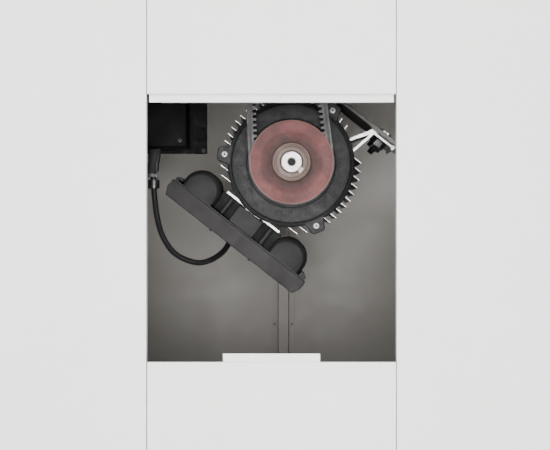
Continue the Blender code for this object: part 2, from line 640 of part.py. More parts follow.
# ---- guide rod, carriage and skate holder ----
def holder():
    rod_y = depth(ROD_D)
    for side, name in ((-1, "left"), (1, "right")):
        centre_x = side * 0.345
        support = box("rod_support_" + name, (centre_x - 0.012, rod_y - 0.022, BODY_TOP + TABLE_T + GAP),
                      (centre_x + 0.012, rod_y + 0.022, ROD_Z + 0.022), ALUMINIUM, bevel=0.002)
        seat = rod("rod_seat_" + name, ROD_R + GAP, centre_x - 0.02, centre_x + 0.02, ALUMINIUM,
                   place=(0, rod_y, ROD_Z), sides=32, along="X")
        boolean(support, seat)
    rod("guide_rod", ROD_R, -0.360, 0.360, STEEL, place=(0, rod_y, ROD_Z), sides=32, along="X")
    tube("carriage", ROD_R + 0.0001, 0.0210, -0.0600, 0.0600, DARK_STEEL, place=(0, rod_y, ROD_Z),
         sides=32, along="X")

    blade_y = depth(WHEEL_D + WHEEL_T / 2) - rod_y       # blade plane, relative to the rod
    low, high = -0.026, -0.012
    front = blade_y - 0.095
    plate = box("skate_holder", (-0.175, front, low), (0.175, -0.025, high), ALUMINIUM,
                place=(0, rod_y, ROD_Z))
    window = box("holder_window", (-0.150, front + 0.022, low - 0.02), (0.150, blade_y + 0.004, high + 0.02),
                 ALUMINIUM, place=(0, rod_y, ROD_Z))
    boolean(plate, window)
    for side in (-1, 1):
        inner, outer = side * 0.0603, side * 0.0850
        ear = box("holder_ear_%d" % (side + 1), (min(inner, outer), -0.036, low), (max(inner, outer), 0.018, 0.018),
                  ALUMINIUM, place=(0, rod_y, ROD_Z))
        boolean(plate, ear, "UNION")
    ear_bore = rod("holder_bore", ROD_R + 0.0003, -0.10, 0.10, ALUMINIUM, place=(0, rod_y, ROD_Z),
                   sides=32, along="X")
    boolean(plate, ear_bore)
    height = (low + high) / 2
    screw_hole = rod("holder_screw_hole", 0.0053, front - 0.01, front + 0.03, ALUMINIUM,
                     place=(0, rod_y, ROD_Z + height), sides=20)
    boolean(plate, screw_hole)
    handle = box("holder_handle", (-0.165, front - 0.030, low), (-0.075, front + 0.002, high - 0.001), ALUMINIUM,
                 place=(0, rod_y, ROD_Z))
    boolean(plate, handle, "UNION")

    jaw_back = blade_y - 0.004
    jaw = box("clamp_jaw", (-0.1460, jaw_back - 0.012, low + 0.001), (0.1460, jaw_back, high + 0.006),
              STEEL, place=(0, rod_y, ROD_Z))
    jaw_hole = rod("jaw_hole", 0.0052, jaw_back - 0.03, jaw_back + 0.02, STEEL,
                   place=(0, rod_y, ROD_Z + height), sides=20)
    boolean(jaw, jaw_hole)
    knob_front = front - 0.040
    turned("clamp_knob",
           [(0, knob_front), (0.0170, knob_front), (0.0200, knob_front + 0.003),
            (0.0200, knob_front + 0.022), (0.0120, knob_front + 0.026), (0.0120, front - 0.001),
            (0.0050, front - 0.001), (0.0050, jaw_back - 0.002), (0, jaw_back - 0.002)],
           BLACK_PLASTIC, place=(0, rod_y, ROD_Z + height), sides=24)


BUTTON_PLACES = ((0.250, 0.780, 0.0110), (0.250, 0.735, 0.0111), (0.250, 0.680, 0.0090))


def buttons():
    looks = (("start_button", GREEN, 0.0135, 0.007), ("stop_button", RED, 0.0135, 0.007),
             ("emergency_stop", RED, 0.0200, 0.014))
    for (name, look, head_r, head_t), (x, z, shank_r) in zip(looks, BUTTON_PLACES):
        lift = 0.0055
        turned(name,
               [(0, FRONT - lift - head_t), (head_r - 0.0015, FRONT - lift - head_t),
                (head_r, FRONT - lift - head_t + 0.0015), (head_r, FRONT - lift),
                (shank_r - 0.0005, FRONT - lift), (shank_r - 0.0005, depth(0.015)), (0, depth(0.015))],
               look, place=(x, 0, z), sides=28)


def mains_gland():
    turned("mains_gland",
           [(0.0045, depth(DEPTH + GAP)), (0.0140, depth(DEPTH + GAP)), (0.0140, depth(DEPTH + 0.009)),
            (0.0105, depth(DEPTH + 0.022)), (0.0045, depth(DEPTH + 0.022))], BLACK_PLASTIC,
           place=(-0.270, 0, 0.130), sides=24)


def main():
    for item in list(bpy.data.objects):
        bpy.data.objects.remove(item, do_unlink=True)
    cabinet()
    motor()
    rotor()
    belt()
    spindle()
    hanger()
    control_box()
    cable()
    holder()
    buttons()
    mains_gland()


main()
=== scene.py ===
"""Looks of the skate sharpener: studio, materials and detailed pieces around the CAD frame."""

import json
import math

import bmesh
import bpy
from mathutils import Matrix, Vector

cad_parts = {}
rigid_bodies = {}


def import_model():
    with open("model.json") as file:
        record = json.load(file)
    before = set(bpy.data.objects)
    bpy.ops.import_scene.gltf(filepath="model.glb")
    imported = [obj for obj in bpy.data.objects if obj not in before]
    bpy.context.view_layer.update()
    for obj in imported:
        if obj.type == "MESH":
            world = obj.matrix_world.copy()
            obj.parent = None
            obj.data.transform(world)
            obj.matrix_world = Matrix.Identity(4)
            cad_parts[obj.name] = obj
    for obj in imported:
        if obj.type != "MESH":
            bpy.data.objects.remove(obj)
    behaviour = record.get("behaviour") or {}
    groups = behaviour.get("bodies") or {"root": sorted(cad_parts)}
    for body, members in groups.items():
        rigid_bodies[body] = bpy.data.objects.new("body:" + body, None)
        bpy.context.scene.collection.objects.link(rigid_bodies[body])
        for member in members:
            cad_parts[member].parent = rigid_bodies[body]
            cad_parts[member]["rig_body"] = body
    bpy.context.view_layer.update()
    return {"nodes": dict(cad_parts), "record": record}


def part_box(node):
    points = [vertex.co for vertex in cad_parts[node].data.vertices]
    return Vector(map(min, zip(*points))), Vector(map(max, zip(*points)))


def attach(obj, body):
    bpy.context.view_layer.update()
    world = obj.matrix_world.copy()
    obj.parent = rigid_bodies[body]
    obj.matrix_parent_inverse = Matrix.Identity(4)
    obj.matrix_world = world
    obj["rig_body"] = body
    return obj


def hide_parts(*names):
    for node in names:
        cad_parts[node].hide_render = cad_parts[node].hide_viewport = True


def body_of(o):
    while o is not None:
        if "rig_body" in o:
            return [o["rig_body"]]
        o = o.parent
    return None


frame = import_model()
NODES = frame["nodes"]
JOINTS = {joint["name"]: joint for joint in frame["record"]["behaviour"]["joints"]}

# ---- driving places, read from the frame ----
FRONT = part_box("left_front_panel")[0].y
MOTOR = Vector(JOINTS["motor_spin"]["pos_m"])
SPINDLE = Vector(JOINTS["spindle_spin"]["pos_m"])
TILT = math.radians(38)                         # the motor is turned about its axis
SHAFT_R = 0.012                                 # the motor's shaft end
TURN = Matrix.Translation((MOTOR.x, 0, MOTOR.z)) @ Matrix.Rotation(TILT, 4, "Y")


# ---- camera, floor and light ----
CAMERA = Vector((0.0038, FRONT - 1.998, 0.400))
FLOOR_HALF = 6


def studio():
    """Camera straight in front, plain floor, four soft lights and a pale world."""
    camera_data = bpy.data.cameras.new("camera")
    camera_data.lens = 120
    camera_data.sensor_width = 36
    camera_data.clip_end = 30
    camera = bpy.data.objects.new("camera", camera_data)
    camera.location = CAMERA
    camera.rotation_euler = (math.radians(90), 0, 0)
    bpy.context.scene.collection.objects.link(camera)
    bpy.context.scene.camera = camera

    shape = bmesh.new()
    bmesh.ops.create_grid(shape, x_segments=1, y_segments=1, size=FLOOR_HALF)
    floor = add("studio_floor", mesh_from("studio_floor", shape), FLOOR)

    for name, place, aim, size, power in (
            ("key_light", (-1.1, -2.6, 1.9), (0, 0, 0.5), 1.6, 84),
            ("fill_light", (1.7, -2.4, 1.3), (0, 0, 0.5), 1.8, 44),
            ("front_light", (-0.03, -2.35, 0.32), (0, 0.1, 0.47), 0.85, 60),
            ("top_light", (0.2, 0.6, 2.9), (0, 0, 0.7), 2.0, 60)):
        data = bpy.data.lights.new(name, "AREA")
        data.size = size
        data.energy = power
        light = bpy.data.objects.new(name, data)
        light.location = place
        light.rotation_euler = (Vector(aim) - Vector(place)).to_track_quat("-Z", "Y").to_euler()
        bpy.context.scene.collection.objects.link(light)
    world = bpy.data.worlds.new("studio_world")
    world.use_nodes = True
    world.node_tree.nodes["Background"].inputs["Color"].default_value = (1.0, 0.99, 0.98, 1)
    world.node_tree.nodes["Background"].inputs["Strength"].default_value = 0.66
    bpy.context.scene.world = world


# ---- procedural materials ----
class Look:
    """A Principled material and short calls that add procedural detail to it."""

    def __init__(self, name, roughness, metallic=0.0, specular=0.5):
        self.material = bpy.data.materials.new(name)
        self.material.use_nodes = True
        self.tree = self.material.node_tree
        self.shader = self.tree.nodes["Principled BSDF"].inputs
        self.shader["Roughness"].default_value = roughness
        self.shader["Metallic"].default_value = metallic
        self.shader["Specular IOR Level"].default_value = specular
        self.place = self.node("TexCoord", "Object")
        self.height = None

    def node(self, kind, output, inputs=None, **settings):
        """Make a node, give its inputs values or links, and return one of its outputs."""
        made = self.tree.nodes.new("ShaderNode" + kind)
        for key, value in settings.items():
            setattr(made, key, value)
        for key, value in (inputs or {}).items():
            socket = made.inputs[key]
            if isinstance(value, bpy.types.NodeSocket):
                self.tree.links.new(value, socket)
            else:
                socket.default_value = (*value, 1) if socket.type == "RGBA" else value
        return made.outputs[output]

    def stretched(self, scale, offset=(0, 0, 0)):
        """Object coordinates scaled differently along each axis."""
        return self.node("Mapping", "Vector", {"Vector": self.place, "Location": offset, "Scale": scale})

    def noise(self, scale, detail=3.0, vector=None, rough=0.5):
        inputs = {"Vector": vector or self.place, "Scale": scale, "Detail": detail, "Roughness": rough}
        return self.node("TexNoise", "Fac", inputs)

    def cells(self, scale):
        return self.node("TexVoronoi", "Distance", {"Vector": self.place, "Scale": scale})

    def times(self, first, second):
        return self.node("Math", "Value", {0: first, 1: second}, operation="MULTIPLY")

    def mix(self, share, first, second):
        """Blend two colours by a share."""
        return self.node("Mix", 2, {0: share, 6: first, 7: second}, data_type="RGBA")

    def ramp(self, source, *stops):
        """Turn a value into the colours or numbers that stand at the given positions."""
        made = self.tree.nodes.new("ShaderNodeValToRGB")
        ends = made.color_ramp.elements
        while len(ends) < len(stops):
            ends.new(0.5)
        for end, (position, value) in zip(ends, stops):
            end.position = position
            end.color = (*value, 1) if isinstance(value, tuple) else (value, value, value, 1)
        self.tree.links.new(source, made.inputs["Fac"])
        return made.outputs["Color"]

    def clouds(self, scale, detail, first, second, vector=None):
        """Two colours that drift into each other."""
        return self.ramp(self.noise(scale, detail, vector), (0.3, first), (0.7, second))

    def patches(self, under, over, scale, detail, start, full, share, vector=None, rough=0.5):
        """Lay a colour over another in patches, from where noise starts to where it is full."""
        spread = self.ramp(self.noise(scale, detail, vector, rough), (start, 0.0), (full, share))
        return self.mix(spread, under, over)

    def radius(self, centre):
        """Distance from an axis along Y through the centre."""
        moved = self.stretched((1, 0, 1), (-centre.x, 0, -centre.z))
        return self.node("VectorMath", "Value", {0: moved}, operation="LENGTH")

    def rings(self, radius, count_per_metre, detail=2.0):
        """Noise that only changes with the radius: turning marks."""
        inputs = {"W": self.times(radius, count_per_metre), "Scale": 1.0, "Detail": detail}
        return self.node("TexNoise", "Fac", inputs, noise_dimensions="1D")

    def along(self, axis, low, high):
        """A value that goes from 0 to 1 between two places on an axis."""
        split = self.node("SeparateXYZ", axis, {"Vector": self.place})
        return self.node("MapRange", "Result", {"Value": split, "From Min": low, "From Max": high})

    def colour(self, source):
        self.tree.links.new(source, self.shader["Base Color"])

    def roughness(self, scale, detail, low, high):
        spread = self.ramp(self.noise(scale, detail), (0.25, low), (0.75, high))
        self.tree.links.new(spread, self.shader["Roughness"])

    def bump(self, source, distance, strength):
        """Add one layer of relief; distance is its height in metres."""
        inputs = {"Strength": strength, "Distance": distance, "Height": source}
        if self.height:
            inputs["Normal"] = self.height
        self.height = self.node("Bump", "Normal", inputs)
        self.tree.links.new(self.height, self.shader["Normal"])

    def orange_peel(self):
        """The relief of sprayed powder."""
        self.bump(self.noise(650.0, 2), 0.00006, 0.5)
        self.bump(self.noise(130.0, 2), 0.00010, 0.35)


def tinted(colour, factor, lift=0.0):
    """A colour made darker or lighter by a factor, with a small lift for dust."""
    return tuple(part * factor + lift for part in colour)


def powder_coat(name, colour, dirt, shade):
    """Sprayed powder: orange-peel relief, faint clouds and a few rubbed marks."""
    look = Look(name, 0.42)
    clouds = look.clouds(5.0, 4, tinted(colour, shade), colour)
    rubbed = look.stretched((1, 1, 0.35))
    look.colour(look.patches(clouds, tinted(colour, 0.62), 38.0, 6, 0.60, 0.78, dirt, rubbed, 0.65))
    look.roughness(60.0, 3, 0.34, 0.52)
    look.orange_peel()
    return look.material


def textured_black(name, dark, light, grain, relief, specular=0.22):
    """Wrinkle paint on a casting: close coarse grain with lighter tips and dust."""
    look = Look(name, 0.55, 0.0, specular)
    cell = look.cells(grain)
    tips = look.ramp(cell, (0.0, light), (0.55, dark))
    look.colour(look.patches(tips, tinted(light, 1.6, 0.004), 22.0, 5, 0.45, 0.80, 0.30))
    look.roughness(140.0, 3, 0.42, 0.68)
    look.bump(look.noise(grain * 0.8, 3), relief, 0.8)
    look.bump(cell, relief * 0.7, 0.5)
    return look.material


def moulded_plastic(name, colour, rough=0.45, scuff=0.12, specular=0.5):
    """Moulded plastic: fine spark-eroded grain, flow clouds and light scuffs."""
    look = Look(name, rough, 0.0, specular)
    flow = look.ramp(look.noise(26.0, 4, look.stretched((1, 0.3, 1))), (0.3, colour),
                     (0.75, tinted(colour, 1.45, 0.004)))
    scuffed = look.stretched((1, 0.25, 1))
    look.colour(look.patches(flow, tinted(colour, 2.2, 0.008), 90.0, 7, 0.58, 0.72, scuff, scuffed, 0.7))
    look.roughness(45.0, 4, rough - 0.08, rough + 0.12)
    look.bump(look.noise(1900.0, 2), 0.00004, 0.5)
    return look.material


def brushed(name, light, dark, along, rough=0.32, metallic=1.0, fine=900.0, dull=0.45):
    """Drawn or ground metal with streaks along one axis, and small dull spots."""
    look = Look(name, rough, metallic)
    scale = tuple(0.02 if axis == along else 1.0 for axis in "XYZ")
    streaks = look.noise(fine, 4, look.stretched(scale))
    tone = look.ramp(streaks, (0.3, dark), (0.7, light))
    look.colour(look.patches(tone, tinted(dark, 0.6), 30.0, 5, 0.55, 0.85, dull))
    look.roughness(70.0, 4, rough - 0.08, rough + 0.16)
    look.bump(streaks, 0.00003, 0.5)
    return look.material


def turned_metal(name, centre, light, dark, rough=0.28, metallic=1.0, fine=4500.0):
    """Metal faced on a lathe: concentric marks round an axis along Y."""
    look = Look(name, rough, metallic)
    marks = look.rings(look.radius(centre), fine)
    tone = look.ramp(marks, (0.35, dark), (0.65, light))
    look.colour(look.patches(tone, tinted(dark, 0.55), 120.0, 5, 0.52, 0.80, 0.5))
    look.roughness(90.0, 3, rough - 0.06, rough + 0.16)
    look.bump(marks, 0.00004, 0.6)
    return look.material


def pulley_face():
    """Red oxide film on a turned casting, with a dark ring of painted shade round the hub on the dished web.
    """
    look = Look("red_oxide_face", 0.60, 0.0, 0.12)
    radius = look.radius(MOTOR)
    marks = look.rings(radius, 900.0, 5)
    film = look.ramp(marks, (0.30, (0.072, 0.025, 0.024)), (0.70, (0.122, 0.047, 0.045)))
    # a pale bloom, then worn places, then chips
    film = look.patches(film, (0.155, 0.066, 0.064), 55.0, 7, 0.36, 0.70, 0.80, rough=0.65)
    film = look.patches(film, (0.062, 0.033, 0.032), 34.0, 6, 0.42, 0.62, 0.85, rough=0.65)
    film = look.patches(film, (0.21, 0.125, 0.11), 300.0, 5, 0.63, 0.72, 0.55, rough=0.7)
    # Painted shade: a dark ring on the dished face round the hub, full close to it and fading outwards,
    # broken up by noise.
    reach = look.times(radius, 20.0)
    ring = look.ramp(reach, (0.445, 1.0), (0.53, 1.0), (0.66, 0.35), (0.74, 0.0))
    painted_hub_shade = look.times(ring, look.ramp(look.noise(150.0, 5), (0.25, 0.55), (0.65, 1.0)))
    film = look.mix(painted_hub_shade, film, (0.040, 0.024, 0.023))
    rim = look.ramp(reach, (0.90, 0.0), (0.945, 0.55))
    look.colour(look.mix(rim, film, (0.210, 0.125, 0.118)))
    look.roughness(110.0, 4, 0.42, 0.68)
    look.bump(marks, 0.00009, 0.7)
    look.bump(look.noise(420.0, 4), 0.00006, 0.4)
    return look.material


def hub_face():
    """The machined hub: brownish rings with a lighter rim."""
    look = Look("hub_face", 0.42, 0.30, 0.25)
    radius = look.radius(MOTOR)
    marks = look.rings(radius, 1300.0, 4)
    tone = look.ramp(marks, (0.42, (0.014, 0.009, 0.008)), (0.58, (0.112, 0.076, 0.062)))
    edge = look.ramp(look.times(radius, 20.0), (0.395, 0.0), (0.42, 0.8))
    tone = look.mix(edge, tone, (0.155, 0.120, 0.105))
    look.colour(look.patches(tone, (0.045, 0.027, 0.023), 240.0, 5, 0.50, 0.75, 0.6))
    look.roughness(130.0, 3, 0.30, 0.50)
    look.bump(marks, 0.00006, 0.6)
    return look.material


def belt_rubber():
    """Black belt back with a grey fabric rub along its middle."""
    look = Look("belt_rubber", 0.62)
    fabric = look.stretched((1, 4, 1))
    look.colour(look.patches((0.020, 0.020, 0.021), (0.110, 0.108, 0.104), 160.0, 5, 0.38, 0.75, 0.55,
                             fabric, 0.65))
    look.roughness(90.0, 4, 0.48, 0.78)
    look.bump(look.cells(1500.0), 0.00007, 0.5)
    return look.material


def soft_black(name, colour, rough, relief_scale=900.0):
    """Rubber or cable sheath: matt, dusty, lightly grained."""
    look = Look(name, rough, 0.0, 0.30)
    look.colour(look.patches(colour, tinted(colour, 2.5, 0.006), 70.0, 5, 0.42, 0.8, 0.35))
    look.roughness(120.0, 3, rough - 0.08, rough + 0.14)
    look.bump(look.noise(relief_scale, 3), 0.00005, 0.5)
    return look.material


def abrasive():
    """Bonded grain: coarse pink crystals with dark pores and loaded steel dust."""
    look = Look("bonded_abrasive", 0.85)
    grain = look.cells(700.0)
    tone = look.ramp(grain, (0.0, (0.80, 0.55, 0.53)), (0.45, (0.66, 0.36, 0.34)), (0.8, (0.30, 0.15, 0.14)))
    look.colour(look.patches(tone, (0.22, 0.20, 0.20), 120.0, 5, 0.50, 0.75, 0.5))
    look.roughness(300.0, 3, 0.75, 0.95)
    look.bump(grain, 0.00035, 0.9)
    look.bump(look.noise(1400.0, 3), 0.00012, 0.6)
    return look.material


def back_wall():
    """The back wall: grey primer inside, darkened as painted shade for the dim cabinet, with painted shade
    low down and a painted light patch at the upper right; powder outside.
    """
    look = Look("back_wall_paint", 0.55, 0.0, 0.3)
    # Grey inside tone: a grey primer, made darker than the white outside as painted shade for the dim
    # cabinet interior.
    clouds = look.clouds(4.0, 4, (0.395, 0.376, 0.346), (0.450, 0.430, 0.398))
    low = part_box("back_rib")[0].z
    # Painted shade: the inside darkens towards the bottom of the wall.
    painted_low_shade = look.ramp(look.along("Z", low, low + 0.22), (0.0, 0.90), (0.55, 0.55), (1.0, 0.0))
    inside = look.mix(painted_low_shade, clouds, (0.155, 0.145, 0.131))
    # Painted light: a lighter patch at the upper right, where the wall lies in the shadow of the motor
    # plate.
    painted_light_patch = look.times(look.along("X", 0.06, 0.15), look.along("Z", MOTOR.z - 0.06, MOTOR.z + 0.03))
    inside = look.mix(painted_light_patch, inside, (0.74, 0.71, 0.665))
    rubbed = look.stretched((1, 1, 0.3))
    inside = look.patches(inside, (0.26, 0.25, 0.23), 40.0, 6, 0.62, 0.80, 0.20, rubbed, 0.65)
    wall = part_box("back_panel")[1].y
    outside = look.ramp(look.along("Y", wall - 0.0012, wall - 0.0008), (0.4, 0.0), (0.6, 1.0))
    look.colour(look.mix(outside, inside, (0.80, 0.80, 0.785)))
    look.roughness(60.0, 3, 0.46, 0.62)
    look.orange_peel()
    return look.material


def cut_extrusion():
    """Extruded aluminium: bright sawn front end, flanks behind it darkened as painted shade between the
    fins.
    """
    look = Look("sawn_extrusion", 0.40, 0.55)
    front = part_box("stator_housing")[0].y
    end = look.ramp(look.along("Y", front, front + 0.0006), (0.0, 0.0), (0.5, 0.2), (1.0, 1.0))
    saw = look.noise(900.0, 4, look.stretched((0.05, 1, 1)))
    bright = look.ramp(saw, (0.3, (0.62, 0.61, 0.60)), (0.7, (0.86, 0.85, 0.84)))
    drawn = look.stretched((1, 0.03, 1))
    # Painted shade: the flanks behind the sawn end are dark grey, standing for the shade between the fins.
    dull = look.clouds(260.0, 4, (0.105, 0.100, 0.093), (0.175, 0.168, 0.156), drawn)
    look.colour(look.mix(end, bright, dull))
    look.roughness(80.0, 4, 0.32, 0.52)
    look.bump(saw, 0.00003, 0.5)
    return look.material


def plate_paint():
    """Dark paint of the inclined plate with painted shade: near black by the motor, lighter towards its
    lower right end.
    """
    look = Look("plate_paint", 0.5, 0.0, 0.3)
    low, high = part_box("motor_plate")
    # Painted shade and light: the plate is near black where it lies in the motor's shadow and turns lighter
    # grey over its last 75 mm at the lower right end.
    painted_lit_end = look.ramp(look.along("X", high.x - 0.075, high.x), (0.15, 0.0), (0.85, 1.0))
    clouds = look.clouds(22.0, 5, (0.030, 0.029, 0.028), (0.055, 0.053, 0.051))
    painted = look.mix(painted_lit_end, clouds, (0.30, 0.288, 0.268))
    # The front cut edge carries the same painted shade and light gradient.
    edge = look.ramp(look.along("Y", low.y, low.y + 0.0010), (0.4, 1.0), (0.6, 0.0))
    cut = look.mix(painted_lit_end, (0.030, 0.029, 0.028), (0.290, 0.278, 0.258))
    look.colour(look.mix(edge, painted, cut))
    look.roughness(60.0, 3, 0.42, 0.60)
    look.bump(look.noise(500.0, 2), 0.00008, 0.5)
    return look.material


def plain_floor():
    look = Look("studio_floor", 0.6)
    look.colour(look.clouds(2.0, 3, 0.78, 0.80))
    look.bump(look.noise(60.0, 3), 0.0002, 0.2)
    return look.material


FLOOR = plain_floor()
WHITE = powder_coat("white_powder_coat", (0.80, 0.80, 0.785), 0.10, 0.965)
INSIDE = powder_coat("inside_paint", (0.56, 0.545, 0.515), 0.16, 0.90)
BRACKET = textured_black("bracket_paint", (0.0020, 0.0018, 0.0017), (0.0045, 0.0040, 0.0038),
                         700.0, 0.00010, 0.06)
CASTING = textured_black("casting_paint", (0.0085, 0.0085, 0.0090), (0.030, 0.030, 0.031), 900.0, 0.00016)
# The base plastic is a little darker than the lid plastic, as painted shade for the terminal box base; the
# same tone serves the other dark plastic parts.
PLASTIC = moulded_plastic("box_plastic", (0.0075, 0.0068, 0.0074), 0.56, 0.35, 0.20)
LID_PLASTIC = moulded_plastic("lid_plastic", (0.0092, 0.0078, 0.0084), 0.56, 0.45, 0.20)
KNOB_PLASTIC = moulded_plastic("knob_plastic", (0.022, 0.022, 0.023), 0.34)
GREEN = moulded_plastic("green_plastic", (0.030, 0.260, 0.085), 0.32)
RED = moulded_plastic("red_plastic", (0.520, 0.022, 0.020), 0.32)
YELLOW = moulded_plastic("yellow_plastic", (0.720, 0.470, 0.030), 0.40)
ALUMINIUM = brushed("extruded_aluminium", (0.90, 0.90, 0.89), (0.70, 0.70, 0.69), "Y", 0.36)
PLATE_ALUMINIUM = brushed("milled_aluminium", (0.82, 0.82, 0.81), (0.62, 0.62, 0.61), "X", 0.30)
TABLE_STEEL = brushed("ground_table_steel", (0.60, 0.60, 0.59), (0.46, 0.46, 0.45), "X", 0.34, 1.0,
                      900.0, 0.16)
ROD_STEEL = brushed("hardened_rod_steel", (0.78, 0.78, 0.78), (0.62, 0.62, 0.62), "X", 0.14)
ZINC = brushed("zinc_plate", (0.80, 0.80, 0.78), (0.55, 0.55, 0.53), "Z", 0.34, 1.0, 400.0)
DARK_STEEL = brushed("blackened_steel", (0.11, 0.11, 0.11), (0.05, 0.05, 0.05), "X", 0.38, 0.9)
SHAFT = turned_metal("shaft_steel", MOTOR, (0.66, 0.62, 0.61), (0.27, 0.24, 0.23), 0.36, 0.6, 1100.0)
SPINDLE_STEEL = turned_metal("spindle_steel", SPINDLE, (0.76, 0.76, 0.76), (0.52, 0.52, 0.52), 0.24)
RED_OXIDE = pulley_face()
HUB = hub_face()
BELT = belt_rubber()
SHEATH = soft_black("cable_sheath", (0.012, 0.012, 0.013), 0.42)
SLEEVE = soft_black("braided_sleeve", (0.020, 0.019, 0.020), 0.70, 1600.0)
RUBBER = soft_black("foot_rubber", (0.018, 0.018, 0.018), 0.72)
COPPER = brushed("copper_winding", (0.60, 0.28, 0.12), (0.38, 0.16, 0.07), "Y", 0.35)
ABRASIVE = abrasive()
KEY_STEEL = brushed("key_steel", (0.300, 0.262, 0.240), (0.170, 0.145, 0.130), "Y", 0.42, 0.5)
CORDS = soft_black("belt_cord_edge", (0.032, 0.029, 0.029), 0.66)
# Painted shade: near-black matt put into slots, vent openings, cross recesses, the shaft's centre hole and
# the set-back webs of the terminal box.
SHADE_BLACK = soft_black("painted_recess_shade", (0.006, 0.006, 0.006), 0.80)
BOX_BLACK = moulded_plastic("control_box_plastic", (0.0012, 0.0011, 0.0011), 0.60, 0.02, 0.06)
BRIGHT = brushed("bright_screw", (0.95, 0.95, 0.94), (0.80, 0.80, 0.78), "Z", 0.30, 0.35)
BLACK_BOLT = brushed("black_oxide", (0.030, 0.030, 0.030), (0.014, 0.014, 0.014), "Y", 0.34, 0.6)
WALL = back_wall()
CUT_ALUMINIUM = cut_extrusion()
UNDERSIDE = plate_paint()
CARRIAGE_STEEL = brushed("blued_carriage", (0.20, 0.205, 0.215), (0.10, 0.104, 0.112), "X", 0.30)
TIE = moulded_plastic("cable_tie_plastic", (0.090, 0.086, 0.082), 0.45)


# ---- mesh helpers ----
def mm(start, *points, reach=0.0):
    """Points in millimetres: the first number counts from reach, the second from start."""
    return [(reach + first / 1000, start + second / 1000) for first, second in points]


def with_mirror(points):
    """Points and then their mirror image, in which the second number changes sign."""
    return points + [(first, -second) for first, second in reversed(points)]


def mesh_from(name, shape, angle=35):
    bmesh.ops.recalc_face_normals(shape, faces=shape.faces)
    mesh = bpy.data.meshes.new(name)
    shape.to_mesh(mesh)
    shape.free()
    mesh.shade_smooth()
    mesh.set_sharp_from_angle(angle=math.radians(angle))
    return mesh


def add(name, mesh, look):
    made = bpy.data.objects.new(name, mesh)
    mesh.materials.append(look)
    bpy.context.scene.collection.objects.link(made)
    return made


def piece(name, shape, look, body=None, replaces=None, bevel=0.0, matrix=None, angle=35,
          segments=2):
    """Turn a bmesh into a finished piece, which may replace a CAD node.

    It rides on that node's body or else on the cabinet, unless the call says otherwise.
    """
    if matrix is not None:
        bmesh.ops.transform(shape, matrix=matrix, verts=shape.verts)
    made = add(name, mesh_from(name, shape, angle), look)
    if bevel:
        edge = made.modifiers.new("edges", "BEVEL")
        edge.width = bevel
        edge.segments = segments
        edge.limit_method = "ANGLE"
        edge.angle_limit = math.radians(35)
        edge.harden_normals = True
    if body is None:
        body = body_of(NODES[replaces])[0] if replaces else "cabinet"
    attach(made, body)
    if replaces:
        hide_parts(replaces)
    return made


def middle_of(node):
    """A CAD node's low corner, high corner and middle."""
    low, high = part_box(node)
    return low, high, (low + high) / 2


def own_shape(node, join_flat=True):
    """A CAD node's own shape with its split vertices joined."""
    shape = bmesh.new()
    shape.from_mesh(NODES[node].data)
    bmesh.ops.remove_doubles(shape, verts=shape.verts, dist=0.000005)
    if join_flat:
        bmesh.ops.dissolve_limit(shape, angle_limit=math.radians(0.5), verts=shape.verts,
                                 edges=shape.edges)
    return shape


def soften(node, look, bevel, angle=30):
    """The CAD node's own shape with its edges softened."""
    piece("%s_finished" % node, own_shape(node), look, replaces=node, bevel=bevel, angle=angle)


def block(low, high, shape=None):
    """A block between two corners, in a new or an existing bmesh."""
    shape = shape or bmesh.new()
    made = bmesh.ops.create_cube(shape, size=1.0)
    for vert in made["verts"]:
        for axis in range(3):
            vert.co[axis] = low[axis] + (vert.co[axis] + 0.5) * (high[axis] - low[axis])
    return shape


def skin(shape, rings, closed=False):
    """Faces between rings of vertices, with both ends capped or joined to each other."""
    following = rings[1:] + rings[:1] if closed else rings[1:]
    for first, second in zip(rings, following):
        for index in range(len(first)):
            after = (index + 1) % len(first)
            shape.faces.new((first[index], second[index], second[after], first[after]))
    if not closed:
        shape.faces.new(rings[0])
        shape.faces.new(rings[-1])
    return shape


def loft(sections, shape=None):
    """Join outlines of (x, z) points, each at its own Y, into one closed body."""
    shape = shape or bmesh.new()
    rings = [[shape.verts.new((x, far, z)) for x, z in outline] for far, outline in sections]
    return skin(shape, rings)


def prism(outline, start, end, shape=None):
    """An outline of (x, z) points extruded along Y."""
    return loft([(start, outline), (end, outline)], shape)


def lathe(profile, centre, sides=96, shape=None, along="Y"):
    """Turn (radius, distance) points about an axis through the centre."""
    solid = profile[0][0] == 0 and profile[-1][0] == 0
    shape = shape or bmesh.new()
    rings = []
    for radius, far in profile:
        ring = []
        for step in range(1 if radius == 0 else sides):
            angle = 2 * math.pi * step / sides
            across, up = radius * math.cos(angle), radius * math.sin(angle)
            place = {"Y": (across, far, up), "X": (far, across, up), "Z": (across, up, far)}[along]
            ring.append(shape.verts.new(Vector(place) + Vector(centre)))
        rings.append(ring)
    pairs = list(zip(rings[:-1], rings[1:]))
    if not solid:
        pairs.append((rings[-1], rings[0]))
    for first, second in pairs:
        for step in range(sides):
            after = (step + 1) % sides
            corners = [first[step % len(first)], first[after % len(first)],
                       second[after % len(second)], second[step % len(second)]]
            shape.faces.new(list(dict.fromkeys(corners)))
    return shape


def arc(centre, radius, start, end, steps):
    """Points on an arc between two angles in degrees."""
    points = []
    for step in range(steps + 1):
        angle = math.radians(start + (end - start) * step / steps)
        points.append((centre[0] + radius * math.cos(angle), centre[1] + radius * math.sin(angle)))
    return points


def spun(out, across, angle):
    """A place that lies out along a direction and across it, as (x, z)."""
    return (out * math.cos(angle) - across * math.sin(angle),
            out * math.sin(angle) + across * math.cos(angle))


